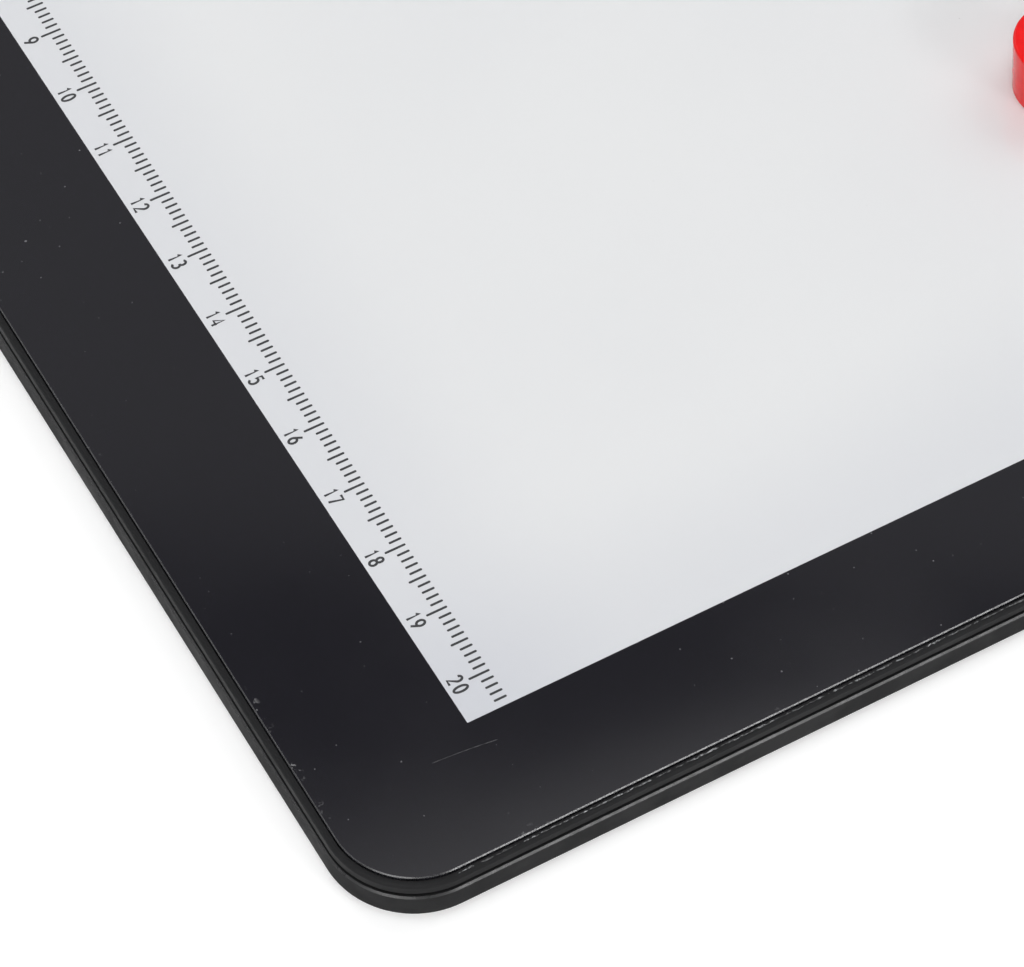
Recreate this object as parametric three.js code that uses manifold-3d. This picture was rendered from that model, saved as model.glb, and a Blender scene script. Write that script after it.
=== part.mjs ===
// LED tracing pad for A4 sheets: an edge-lit light box under a clear panel with a black border.
// Millimetres, +Z up. X runs along the ruled edge and Y away from it. The origin is on the table,
// under the middle of the case. A small round paper magnet stands on the drawing window.

import * as THREE from 'three';
import { mergeVertices } from 'three/addons/utils/BufferGeometryUtils.js';
import Module from 'manifold-3d';

const wasm = await Module();
wasm.setup();

// Drawing window and panel
const windowWidth = 210;
const windowLength = 310;
const sideBorder = 16.15;
const endBorder = 20.45;
const panelCornerRadius = 10;
const panelThickness = 1.5;
const panelEdgeBreak = 0.08;
const maskThickness = 0.1;
const maskInset = 0.25;
const tapeThickness = 0.1;
const tapeInset = 1;

// Case, as distances out from the panel's edge and down from its face
const panelProud = 0.4;
const pocketGap = 0.1;
const rimFlat = 0.37;
const rimFillet = 0.5;
const frameWallHeight = 1.45;
const partingGap = 0.2;
const shellProud = 0.3;
const shellDraft = 0.2;
const shellWall = 1.6;
const shellShoulder = 1.6;
const shellFillet = 1;
const lipThickness = 0.55;
const lipFlat = 0.1;
const lapGap = 0.1;
const floorThickness = 1.2;
const ledgeThickness = 1;

// Optical stack, from the floor up
const steelThickness = 0.35;
const reflectorThickness = 0.2;
const guideThickness = 3;
const diffuserThickness = 0.3;
const stackClearance = 0.35;
const sheetClearance = 0.3;
const sheetCornerRadius = 2;

// Well that holds the stack, and the light strip along its left side
const wellMargin = 5.2;
const wellWall = 1;
const wellFootGap = 0.3;
const wellCornerRadius = 2.5;
const stripTape = 0.1;
const stripThickness = 0.2;
const stripEndGap = 6;
const ledPitch = 6;
const ledLength = 3;
const ledHeight = 1.4;
const ledDepth = 0.8;
const ledGap = 0.3;

// Feet
const footStand = 1.1;
const footRecess = 0.4;
const footRadius = 5;
const footFillet = 0.4;
const footClearance = 0.2;
const footInset = 17;

// Case screws, their pads on the floor and their posts under the frame
const screwRadius = 1;
const screwHeadRadius = 1.9;
const screwHeadHeight = 1;
const screwHeadSink = 0.1;
const screwLength = 4;
const screwClearance = 0.15;
const recessWidth = 0.5;
const recessSpan = 2;
const recessDepth = 0.55;
const padRadius = 3.2;
const padHeight = 1;
const postRadius = 2.3;
const postTipGap = 0.3;
const sideScrewReach = 58;

// Stiffening ribs in the side channels
const ribThickness = 0.8;
const ribHeight = 2.2;
const ribPitch = 22;
const ribGap = 0.4;
const ribRoot = 0.5;

// Control board and what it carries
const boardLength = 52;
const boardDepth = 12;
const boardThickness = 0.8;
const boardStandoff = 0.6;
const boardFlangeGap = 0.3;
const boardSetIn = 1;
const standoffRadius = 2.1;
const boardScrewRadius = 0.8;
const boardScrewHeadRadius = 1.5;
const boardScrewHeadHeight = 0.7;
const boardScrewLength = 1.2;
const boardScrewInset = 2.6;
const boardHoleClearance = 0.15;
const chipLength = 4.9;
const chipWidth = 3.9;
const chipHeight = 1.1;
const chipFromLeft = 10;
const chipFromBack = 4.4;
const chipEdgeBreak = 0.15;
const inductorSize = 5;
const inductorHeight = 1.2;
const inductorFromLeft = 23;
const inductorCoilInset = 0.6;
const inductorFlange = 0.3;
const capacitorLength = 3.2;
const capacitorWidth = 1.6;
const capacitorHeight = 1.1;
const capacitorFromLeft = 30;
const capacitorEndBand = 0.5;
const capacitorBandStep = 0.05;

// Power inlet, set into the board and open through the far edge
const socketWidth = 7.5;
const socketHeight = 2.5;
const socketDepth = 5.6;
const socketWall = 0.25;
const socketChamfer = 0.9;
const socketFromLeft = 19;
const socketLift = 0.15;
const socketWingWidth = 1.2;
const socketWingDepth = 2;
const socketWingThickness = 0.25;
const socketApertureGap = 0.3;
const socketNotchGap = 0.2;
const socketMouthRecess = 0.3;
const tongueWidth = 3.7;
const tongueHeight = 0.6;
const tongueSetback = 0.7;
const tongueBlockDepth = 1.6;
const tongueClearance = 0.05;

// Push button and its switch
const buttonFromLeft = 40;
const buttonWidth = 8.8;
const buttonHeight = 2.2;
const buttonGap = 0.2;
const buttonCrown = 0.3;
const buttonTravel = 0.3;
const buttonFlangeWidth = 11;
const buttonFlangeHeight = 2.7;
const buttonFlangeThickness = 0.5;
const buttonFlangeGap = 0.1;
const stemWidth = 2.6;
const stemHeight = 1;
const dishLength = 20;
const dishHeight = 4;
const dishDepth = 0.55;
const buttonProud = 0.35;
const switchWidth = 4.7;
const switchDepth = 3.5;
const switchHeight = 1.3;
const switchSetback = 2.5;
const plungerWidth = 2.4;
const plungerHeight = 0.7;
const plungerReach = 0.8;
const plungerBuried = 0.9;
const plungerClearance = 0.1;
const plungerEndRoom = 0.5;

// Leads from the board to the strip
const wireRadius = 0.4;
const wirePadInset = 2;
const wirePadFromBack = 6.5;
const wireSpacing = 1.2;
const wireBend = 4;
const wireEndGap = 0.3;
const wireLift = 0.1;

// Paper magnet
const magnetPlaceX = 59;
const magnetPlaceY = -44.3;
const magnetFootRadius = 5.75;
const magnetTopRadius = 6.5;
const magnetHeight = 9;
const magnetTopFillet = 0.4;
const magnetFootFillet = 0.2;
const discRadius = 4.5;
const discThickness = 3;
const discClearance = 0.2;
const discRecess = 0.2;
const discEdgeBreak = 0.2;

const overrun = 1;

// Mesh detail, in counts
const cornerSteps = 8;
const filletSteps = 4;
const roundSides = 24;
const screwSides = 16;
const footSides = 32;
const magnetSides = 40;
const dishSides = 20;
const outlineSteps = 4;
const wireSteps = 20;
const wireSides = 8;

// Levels above the table
const floorUnder = footStand;
const floorTop = floorUnder + floorThickness;
const steelTop = floorTop + steelThickness;
const reflectorTop = steelTop + reflectorThickness;
const guideTop = reflectorTop + guideThickness;
const diffuserTop = guideTop + diffuserThickness;
const panelUnder = diffuserTop + stackClearance;
const panelTop = panelUnder + panelThickness;
const maskUnder = panelUnder - maskThickness;
const ledgeTop = maskUnder - tapeThickness;
const ledgeUnder = ledgeTop - ledgeThickness;
const frameTop = panelTop - panelProud;
const frameSkirt = frameTop - frameWallHeight;
const shellTop = frameSkirt - partingGap;
const wellFoot = floorTop + wellFootGap;
const padTop = floorTop + padHeight;
const boardUnder = floorTop + boardStandoff;
const boardTop = boardUnder + boardThickness;

// Plan sizes, and distances out from the panel's edge
const panelHalfX = windowWidth / 2 + sideBorder;
const panelHalfY = windowLength / 2 + endBorder;
const frameOut = pocketGap + rimFlat + rimFillet;
const shellOut = frameOut + shellProud;
const lipInner = shellOut - lipThickness;
const lapOut = lipInner - lapGap;
const shellInner = shellOut - shellWall;
const shoulderMiddle = shellOut - shellShoulder;
const shoulderTurn = Math.acos((lipInner + lipFlat - shoulderMiddle) / shellShoulder);
const shoulderFoot = shellTop - shellShoulder * Math.sin(shoulderTurn);
const wellHalfX = windowWidth / 2 + wellMargin;
const wellHalfY = windowLength / 2 + wellMargin;
const channelX = (wellHalfX + wellWall + panelHalfX + shellInner) / 2;
const channelY = (wellHalfY + wellWall + panelHalfY + shellInner) / 2;
const innerWallY = panelHalfY + shellInner;
const outerWallY = panelHalfY + shellOut;
const flangeFrontY = innerWallY - buttonFlangeGap;
const flangeBackY = flangeFrontY - buttonFlangeThickness;
const boardFront = flangeBackY - buttonTravel - boardFlangeGap;
const boardBack = boardFront - boardDepth;
const stripBack = -wellHalfX + stripTape;
const stripFace = stripBack + stripThickness;
const ledFace = stripFace + ledDepth;
const stripFarEnd = wellHalfY - stripEndGap;

const colours = {
  shell: { color: 0x1d1d1f, roughness: 0.55, metalness: 0 },
  frame: { color: 0x212123, roughness: 0.5, metalness: 0 },
  panel: { color: 0xe9ebee, roughness: 0.06, metalness: 0, transparent: true, opacity: 0.25 },
  mask: { color: 0x0d0d0f, roughness: 0.2, metalness: 0 },
  tape: { color: 0xf1efe8, roughness: 0.7, metalness: 0 },
  diffuser: { color: 0xdfe0e4, roughness: 0.6, metalness: 0 },
  guide: { color: 0xe4eef0, roughness: 0.05, metalness: 0 },
  reflector: { color: 0xf7f7f5, roughness: 0.5, metalness: 0 },
  steel: { color: 0x8f9396, roughness: 0.35, metalness: 1 },
  strip: { color: 0xf2f0e6, roughness: 0.5, metalness: 0 },
  board: { color: 0x1f5a3c, roughness: 0.45, metalness: 0 },
  chip: { color: 0x151515, roughness: 0.5, metalness: 0 },
  inductor: { color: 0x3a3a3c, roughness: 0.6, metalness: 0 },
  ceramic: { color: 0x9a7448, roughness: 0.5, metalness: 0 },
  nickel: { color: 0xb9bcc0, roughness: 0.25, metalness: 1 },
  insulator: { color: 0x1a1a1c, roughness: 0.5, metalness: 0 },
  button: { color: 0x242426, roughness: 0.45, metalness: 0 },
  wireRed: { color: 0xb3201c, roughness: 0.5, metalness: 0 },
  wireBlack: { color: 0x161616, roughness: 0.5, metalness: 0 },
  rubber: { color: 0x2b2b2d, roughness: 0.9, metalness: 0 },
  red: { color: 0xd8262a, roughness: 0.25, metalness: 0 },
};

// Solids and meshes

function solidOf(geometry) {
  const bare = geometry.clone();
  bare.deleteAttribute('normal');
  bare.deleteAttribute('uv');
  const merged = mergeVertices(bare);
  return new wasm.Manifold(new wasm.Mesh({
    numProp: 3,
    vertProperties: new Float32Array(merged.attributes.position.array),
    triVerts: new Uint32Array(merged.index.array),
  }));
}

function geometryOf(solid) {
  const mesh = solid.getMesh();
  const geometry = new THREE.BufferGeometry();
  geometry.setAttribute('position', new THREE.BufferAttribute(new Float32Array(mesh.vertProperties), 3));
  geometry.setIndex(new THREE.BufferAttribute(new Uint32Array(mesh.triVerts), 1));
  return geometry;
}

const group = new THREE.Group();

function addPart(name, shape, colour) {
  const geometry = shape.isBufferGeometry ? shape : geometryOf(shape);
  const flat = geometry.index ? geometry.toNonIndexed() : geometry;
  flat.computeVertexNormals();
  const mesh = new THREE.Mesh(flat, new THREE.MeshStandardMaterial(colour));
  mesh.name = name;
  group.add(mesh);
  return mesh;
}

function united(solids) {
  return solids.reduce((sum, solid) => sum.add(solid));
}

function cut(solid, tools) {
  return tools.reduce((rest, tool) => rest.subtract(tool), solid);
}

// A closed body through rings of points, from the lowest up, each counterclockwise seen from above
function loft(rings) {
  const count = rings[0].length;
  const positions = rings.flat(2);
  const indices = [];
  for (let level = 0; level + 1 < rings.length; level++) {
    for (let k = 0; k < count; k++) {
      const a = level * count + k;
      const b = level * count + (k + 1) % count;
      indices.push(a, b, b + count, a, b + count, a + count);
    }
  }
  const top = (rings.length - 1) * count;
  for (let k = 1; k + 1 < count; k++) {
    indices.push(0, k + 1, k);
    indices.push(top, top + k, top + k + 1);
  }
  const geometry = new THREE.BufferGeometry();
  geometry.setAttribute('position', new THREE.Float32BufferAttribute(positions, 3));
  geometry.setIndex(indices);
  return geometry;
}

function roundedRing(halfX, halfY, radius, z) {
  const points = [];
  const corners = [[1, 1], [-1, 1], [-1, -1], [1, -1]];
  corners.forEach(([signX, signY], corner) => {
    for (let k = 0; k <= cornerSteps; k++) {
      const angle = (corner + k / cornerSteps) * Math.PI / 2;
      const x = signX * (halfX - radius) + radius * Math.cos(angle);
      const y = signY * (halfY - radius) + radius * Math.sin(angle);
      points.push([x, y, z]);
    }
  });
  return points;
}

// A body whose plan follows the panel's edge, each level at its own distance out from it
function caseLoft(levels) {
  return solidOf(loft(levels.map(([out, z]) => (
    roundedRing(panelHalfX + out, panelHalfY + out, panelCornerRadius + out, z)
  ))));
}

// Points of a round, as [out, z] pairs about a centre, from one angle to another
function arcLevels(out, z, radius, from, to) {
  const levels = [];
  for (let k = 0; k <= filletSteps; k++) {
    const angle = from + (to - from) * k / filletSteps;
    levels.push([out + radius * Math.cos(angle), z + radius * Math.sin(angle)]);
  }
  return levels;
}

function roundedSlab(halfX, halfY, radius, low, high) {
  return solidOf(loft([roundedRing(halfX, halfY, radius, low), roundedRing(halfX, halfY, radius, high)]));
}

function box(low, high) {
  const size = high.map((value, axis) => value - low[axis]);
  const geometry = new THREE.BoxGeometry(size[0], size[1], size[2]);
  geometry.translate(low[0] + size[0] / 2, low[1] + size[1] / 2, low[2] + size[2] / 2);
  return solidOf(geometry);
}

function post(x, y, radius, low, high, sides = roundSides) {
  const geometry = new THREE.CylinderGeometry(radius, radius, high - low, sides);
  geometry.rotateX(Math.PI / 2);
  geometry.translate(x, y, (low + high) / 2);
  return solidOf(geometry);
}

// A revolved body about an upright axis; the profile is a list of [radius, z]
function turned(profile, sides) {
  const points = profile.map(([radius, z]) => new THREE.Vector2(radius, z));
  const geometry = new THREE.LatheGeometry(points, sides);
  geometry.rotateX(Math.PI / 2);
  return geometry;
}

// A plan outline in X and Z pushed along Y, from the nearer face to the farther one
function alongY(shape, near, far) {
  const geometry = new THREE.ExtrudeGeometry(shape, {
    depth: far - near, bevelEnabled: false, curveSegments: outlineSteps,
  });
  geometry.rotateX(Math.PI / 2);
  geometry.translate(0, far, 0);
  return solidOf(geometry);
}

function stadium(x, z, width, height) {
  const shape = new THREE.Shape();
  const end = height / 2;
  const reach = width / 2 - end;
  shape.absarc(x + reach, z, end, -Math.PI / 2, Math.PI / 2, false);
  shape.absarc(x - reach, z, end, Math.PI / 2, 3 * Math.PI / 2, false);
  shape.closePath();
  return shape;
}

// Places that more than one piece uses

const screwPlaces = [];
for (const side of [-1, 1]) {
  for (const y of [-channelY, -sideScrewReach, sideScrewReach, channelY]) {
    screwPlaces.push([side * channelX, y]);
  }
  screwPlaces.push([0, side * channelY]);
}

const footPlaces = [[-1, -1], [1, -1], [1, 1], [-1, 1]].map(([signX, signY]) => (
  [signX * (panelHalfX - footInset), signY * (panelHalfY - footInset)]
));

const boardLeft = -windowWidth / 2 + boardSetIn;
const boardRight = boardLeft + boardLength;
const boardMiddleY = (boardFront + boardBack) / 2;
const boardScrewPlaces = [
  [boardLeft + boardScrewInset, boardBack + boardScrewInset],
  [boardRight - boardScrewInset, boardBack + boardScrewInset],
];
const socketX = boardLeft + socketFromLeft;
const socketLow = floorTop + socketLift;
const socketMiddleZ = socketLow + socketHeight / 2;
const socketMouthY = outerWallY - shellDraft - socketMouthRecess;
const socketBackY = socketMouthY - socketDepth;
const buttonX = boardLeft + buttonFromLeft;
const buttonZ = (floorTop + ledgeUnder) / 2;
const buttonFaceY = outerWallY - shellDraft - dishDepth + buttonProud;
const switchFrontY = innerWallY - switchSetback;
const switchBackY = switchFrontY - switchDepth;
const plungerTipY = switchFrontY + plungerReach;
const plungerZ = boardTop + switchHeight / 2;
const leadHigh = ledgeUnder - wireLift - wireRadius;

// Case

function backShell() {
  const low = shellOut - shellDraft;
  const outer = caseLoft([
    ...arcLevels(low - shellFillet, floorUnder + shellFillet, shellFillet, -Math.PI / 2, 0),
    ...arcLevels(shoulderMiddle, shoulderFoot, shellShoulder, 0, shoulderTurn),
  ]);
  const cavity = caseLoft([[shellInner, floorTop], [shellInner, shellTop + overrun]]);
  const lap = caseLoft([[lipInner, ledgeUnder], [lipInner, shellTop + overrun]]);
  const tray = cut(outer, [cavity, lap]);
  const pads = screwPlaces.map(([x, y]) => post(x, y, padRadius, floorUnder + footRecess, padTop));
  const stands = boardScrewPlaces.map(([x, y]) => (
    post(x, y, standoffRadius, floorUnder + footRecess, boardUnder)
  ));
  const shell = united([tray, ...pads, ...stands, ...shellRibs()]);
  return cut(shell, [
    ...screwPlaces.map(caseScrewHole),
    ...boardScrewPlaces.map(([x, y]) => (
      post(x, y, boardScrewRadius + boardHoleClearance, floorUnder + footRecess, boardTop, screwSides)
    )),
    ...footPlaces.map(([x, y]) => (
      post(x, y, footRadius + footClearance, floorUnder - overrun, floorUnder + footRecess)
    )),
    alongY(socketOutline(socketApertureGap), innerWallY - overrun, outerWallY + overrun),
    alongY(stadium(buttonX, buttonZ, buttonWidth + 2 * buttonGap, buttonHeight + 2 * buttonGap),
      innerWallY - overrun, outerWallY + overrun),
    fingerDish(),
  ]);
}

// Ribs on the floor of the two side channels, clear of the screw pads
function shellRibs() {
  const near = wellHalfX + wellWall + ribGap;
  const far = panelHalfX + shellInner + ribRoot;
  const ribs = [];
  const count = Math.floor((wellHalfY - padRadius) / ribPitch);
  for (let k = -count; k <= count; k++) {
    const y = k * ribPitch;
    const clear = screwPlaces.every((place) => Math.abs(place[1] - y) > padRadius + ribThickness);
    if (clear) {
      for (const side of [-1, 1]) {
        const x = [side * near, side * far].sort((a, b) => a - b);
        ribs.push(box(
          [x[0], y - ribThickness / 2, floorUnder + footRecess],
          [x[1], y + ribThickness / 2, floorTop + ribHeight],
        ));
      }
    }
  }
  return ribs;
}

function caseScrewHole([x, y]) {
  const geometry = turned([
    [0, floorUnder - overrun],
    [screwHeadRadius + screwClearance, floorUnder - overrun],
    [screwHeadRadius + screwClearance, floorUnder + screwHeadSink],
    [screwRadius + screwClearance, floorUnder + screwHeadSink + screwHeadHeight],
    [screwRadius + screwClearance, padTop + overrun],
    [0, padTop + overrun],
  ], screwSides);
  geometry.translate(x, y, 0);
  return solidOf(geometry);
}

// A shallow hollow for the fingertip round the button
function fingerDish() {
  const geometry = new THREE.SphereGeometry(1, dishSides, dishSides);
  geometry.rotateX(Math.PI / 2);
  geometry.scale(dishLength / 2, dishDepth, dishHeight / 2);
  geometry.translate(buttonX, outerWallY - shellDraft, buttonZ);
  return solidOf(geometry);
}

function frontFrame() {
  const outer = caseLoft([
    [lapOut, ledgeUnder],
    [lapOut, frameSkirt],
    [frameOut, frameSkirt],
    ...arcLevels(frameOut - rimFillet, frameTop - rimFillet, rimFillet, 0, Math.PI / 2),
  ]);
  const wellOuter = roundedSlab(
    wellHalfX + wellWall, wellHalfY + wellWall, wellCornerRadius + wellWall, wellFoot, ledgeTop,
  );
  const posts = screwPlaces.map(([x, y]) => post(x, y, postRadius, padTop, ledgeUnder + ledgeThickness / 2));
  const frame = united([outer, wellOuter, ...posts]);
  const pocket = caseLoft([[pocketGap, ledgeTop], [pocketGap, frameTop + overrun]]);
  const well = roundedSlab(wellHalfX, wellHalfY, wellCornerRadius, wellFoot - overrun, ledgeTop + overrun);
  const pilots = screwPlaces.map(([x, y]) => (
    post(x, y, screwRadius + screwClearance, padTop - overrun,
      floorUnder + screwHeadSink + screwLength + postTipGap, screwSides)
  ));
  const leadNotch = box(
    [-wellHalfX, wellHalfY - overrun, wellFoot - overrun],
    [-wellHalfX + wireBend, wellHalfY + wellWall + overrun, ledgeUnder],
  );
  return cut(frame, [pocket, well, ...pilots, leadNotch]);
}

function frontPanel() {
  return caseLoft([
    [-panelEdgeBreak, panelUnder],
    [0, panelUnder + panelEdgeBreak],
    [0, panelTop - panelEdgeBreak],
    [-panelEdgeBreak, panelTop],
  ]);
}

function borderMask() {
  const outer = caseLoft([[-maskInset, maskUnder], [-maskInset, panelUnder]]);
  const opening = box(
    [-windowWidth / 2, -windowLength / 2, maskUnder - overrun],
    [windowWidth / 2, windowLength / 2, panelUnder + overrun],
  );
  return outer.subtract(opening);
}

function panelTape() {
  const outer = caseLoft([[-tapeInset, ledgeTop], [-tapeInset, maskUnder]]);
  const opening = roundedSlab(
    wellHalfX + tapeInset, wellHalfY + tapeInset, wellCornerRadius, ledgeTop - overrun, maskUnder + overrun,
  );
  return outer.subtract(opening);
}

function foot([x, y]) {
  const top = floorUnder + footRecess;
  const profile = [[0, 0]];
  for (let k = 0; k <= filletSteps; k++) {
    const angle = -Math.PI / 2 + Math.PI / 2 * k / filletSteps;
    profile.push([
      footRadius - footFillet + footFillet * Math.cos(angle),
      footFillet + footFillet * Math.sin(angle),
    ]);
  }
  profile.push([footRadius, top], [0, top]);
  const geometry = turned(profile, footSides);
  geometry.translate(x, y, 0);
  return geometry;
}

function crossRecess(x, y, low, depth) {
  const half = recessWidth / 2;
  const reach = recessSpan / 2;
  const bottom = low - overrun;
  return [
    box([x - reach, y - half, bottom], [x + reach, y + half, low + depth]),
    box([x - half, y - reach, bottom], [x + half, y + reach, low + depth]),
  ];
}

function caseScrew([x, y]) {
  const head = floorUnder + screwHeadSink;
  const geometry = turned([
    [0, head],
    [screwHeadRadius, head],
    [screwRadius, head + screwHeadHeight],
    [screwRadius, head + screwLength - screwRadius],
    [screwRadius / 2, head + screwLength],
    [0, head + screwLength],
  ], screwSides);
  geometry.translate(x, y, 0);
  return cut(solidOf(geometry), crossRecess(x, y, head, recessDepth));
}

// Optical stack

function sheet(thicknessLow, thicknessHigh) {
  return roundedSlab(
    wellHalfX - sheetClearance, wellHalfY - sheetClearance, sheetCornerRadius, thicknessLow, thicknessHigh,
  );
}

// The guide and the diffuser leave the strip its space on the left
function guideSlab(low, high) {
  const left = ledFace + ledGap;
  const right = wellHalfX - sheetClearance;
  const geometry = loft([low, high].map((z) => (
    roundedRing((right - left) / 2, wellHalfY - sheetClearance, sheetCornerRadius, z)
  )));
  geometry.translate((left + right) / 2, 0, 0);
  return geometry;
}

function ledStrip() {
  const low = reflectorTop;
  const band = box([stripBack, -stripFarEnd, low], [stripFace, stripFarEnd, low + guideThickness]);
  const middle = low + guideThickness / 2;
  const count = Math.floor((2 * stripFarEnd - ledLength) / ledPitch);
  const lamps = [];
  for (let k = 0; k <= count; k++) {
    const y = (k - count / 2) * ledPitch;
    lamps.push(box(
      [stripBack + stripThickness / 2, y - ledLength / 2, middle - ledHeight / 2],
      [ledFace, y + ledLength / 2, middle + ledHeight / 2],
    ));
  }
  return united([band, ...lamps]);
}

// Control board

function controlBoard() {
  const plate = box([boardLeft, boardBack, boardUnder], [boardRight, boardFront, boardTop]);
  const notchHalf = socketWidth / 2 + socketNotchGap;
  return cut(plate, [
    box([socketX - notchHalf, socketBackY - socketNotchGap, boardUnder - overrun],
      [socketX + notchHalf, boardFront + overrun, boardTop + overrun]),
    ...boardScrewPlaces.map(([x, y]) => (
      post(x, y, boardScrewRadius + boardHoleClearance, boardUnder - overrun, boardTop + overrun, screwSides)
    )),
  ]);
}

function boardScrew([x, y]) {
  const geometry = turned([
    [0, boardTop - boardScrewLength],
    [boardScrewRadius / 2, boardTop - boardScrewLength],
    [boardScrewRadius, boardTop - boardScrewLength + boardScrewRadius / 2],
    [boardScrewRadius, boardTop],
    [boardScrewHeadRadius, boardTop],
    [boardScrewHeadRadius, boardTop + boardScrewHeadHeight / 2],
    [boardScrewHeadRadius / 2, boardTop + boardScrewHeadHeight],
    [0, boardTop + boardScrewHeadHeight],
  ], screwSides);
  geometry.translate(x, y, 0);
  return geometry;
}

// A low block whose top edges are broken, as a moulded chip's are
function driverChip() {
  const x = boardLeft + chipFromLeft;
  const y = boardBack + chipFromBack;
  const ring = (inset, z) => {
    const halfX = chipLength / 2 - inset;
    const halfY = chipWidth / 2 - inset;
    const corners = [[1, 1], [-1, 1], [-1, -1], [1, -1]];
    return corners.map(([signX, signY]) => [x + signX * halfX, y + signY * halfY, z]);
  };
  const top = boardTop + chipHeight;
  return loft([ring(0, boardTop), ring(0, top - chipEdgeBreak), ring(chipEdgeBreak, top)]);
}

function powerInductor() {
  const x = boardLeft + inductorFromLeft;
  const half = inductorSize / 2;
  const slab = (low, high) => box([x - half, boardMiddleY - half - chipEdgeBreak, low],
    [x + half, boardMiddleY + half - chipEdgeBreak, high]);
  const low = boardTop + inductorFlange;
  const high = boardTop + inductorHeight - inductorFlange;
  const y = boardMiddleY - chipEdgeBreak;
  return united([
    slab(boardTop, low),
    post(x, y, half - inductorCoilInset, low - inductorFlange / 2, high + inductorFlange / 2),
    slab(high, boardTop + inductorHeight),
  ]);
}

function inputCapacitor() {
  const x = boardLeft + capacitorFromLeft;
  const halfLength = capacitorLength / 2;
  const halfWidth = capacitorWidth / 2;
  const bodyHalf = halfWidth - capacitorBandStep;
  const body = box(
    [x - halfLength, boardMiddleY - bodyHalf, boardTop + capacitorBandStep],
    [x + halfLength, boardMiddleY + bodyHalf, boardTop + capacitorHeight - capacitorBandStep],
  );
  const bands = [x - halfLength, x + halfLength - capacitorEndBand].map((left) => box(
    [left, boardMiddleY - halfWidth, boardTop],
    [left + capacitorEndBand, boardMiddleY + halfWidth, boardTop + capacitorHeight],
  ));
  return united([body, ...bands]);
}

// Power inlet

// The inlet's outline in X and Z, wider above than below, grown by the given distance
function socketOutline(grow) {
  const half = socketWidth / 2 + grow;
  const low = socketLow - grow;
  const high = socketLow + socketHeight + grow;
  const shape = new THREE.Shape();
  shape.moveTo(socketX - half, high);
  shape.lineTo(socketX - half, low + socketChamfer);
  shape.lineTo(socketX - half + socketChamfer, low);
  shape.lineTo(socketX + half - socketChamfer, low);
  shape.lineTo(socketX + half, low + socketChamfer);
  shape.lineTo(socketX + half, high);
  shape.closePath();
  return shape;
}

function socketShell() {
  const tube = alongY(socketOutline(0), socketBackY, socketMouthY);
  const hollow = alongY(socketOutline(-socketWall), socketBackY + socketWall, socketMouthY + overrun);
  const wings = [-1, 1].map((side) => {
    const inner = socketX + side * (socketWidth / 2 - socketWall / 2);
    const outer = socketX + side * (socketWidth / 2 + socketWingWidth);
    return box(
      [Math.min(inner, outer), socketBackY, boardTop],
      [Math.max(inner, outer), socketBackY + socketWingDepth, boardTop + socketWingThickness],
    );
  });
  return united([tube, ...wings]).subtract(hollow);
}

function socketTongue() {
  const inset = socketWall + tongueClearance;
  const back = socketBackY + socketWall + tongueClearance;
  const blockFront = back + tongueBlockDepth;
  const block = alongY(socketOutline(-inset), back, blockFront);
  const tongue = box(
    [socketX - tongueWidth / 2, blockFront - tongueBlockDepth / 2, socketMiddleZ - tongueHeight / 2],
    [socketX + tongueWidth / 2, socketMouthY - tongueSetback, socketMiddleZ + tongueHeight / 2],
  );
  return block.add(tongue);
}

// Switch and button

function tactSwitch() {
  const body = box(
    [buttonX - switchWidth / 2, switchBackY, boardTop],
    [buttonX + switchWidth / 2, switchFrontY, boardTop + switchHeight],
  );
  const slot = box(
    [buttonX - plungerWidth / 2 - plungerClearance, switchFrontY - plungerBuried - plungerEndRoom,
      plungerZ - plungerHeight / 2 - plungerClearance],
    [buttonX + plungerWidth / 2 + plungerClearance, switchFrontY + overrun,
      plungerZ + plungerHeight / 2 + plungerClearance],
  );
  return body.subtract(slot);
}

function switchPlunger() {
  return box(
    [buttonX - plungerWidth / 2, switchFrontY - plungerBuried, plungerZ - plungerHeight / 2],
    [buttonX + plungerWidth / 2, plungerTipY, plungerZ + plungerHeight / 2],
  );
}

function powerButton() {
  const cap = alongY(
    stadium(buttonX, buttonZ, buttonWidth, buttonHeight), flangeBackY, buttonFaceY - buttonCrown,
  );
  const crown = alongY(
    stadium(buttonX, buttonZ, buttonWidth - buttonCrown, buttonHeight - buttonCrown),
    buttonFaceY - 2 * buttonCrown, buttonFaceY,
  );
  const flange = alongY(
    stadium(buttonX, buttonZ, buttonFlangeWidth, buttonFlangeHeight), flangeBackY, flangeFrontY,
  );
  const stem = box(
    [buttonX - stemWidth / 2, plungerTipY, plungerZ - stemHeight / 2],
    [buttonX + stemWidth / 2, flangeFrontY - buttonFlangeThickness / 2, plungerZ + stemHeight / 2],
  );
  return united([cap, crown, flange, stem]);
}

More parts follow.
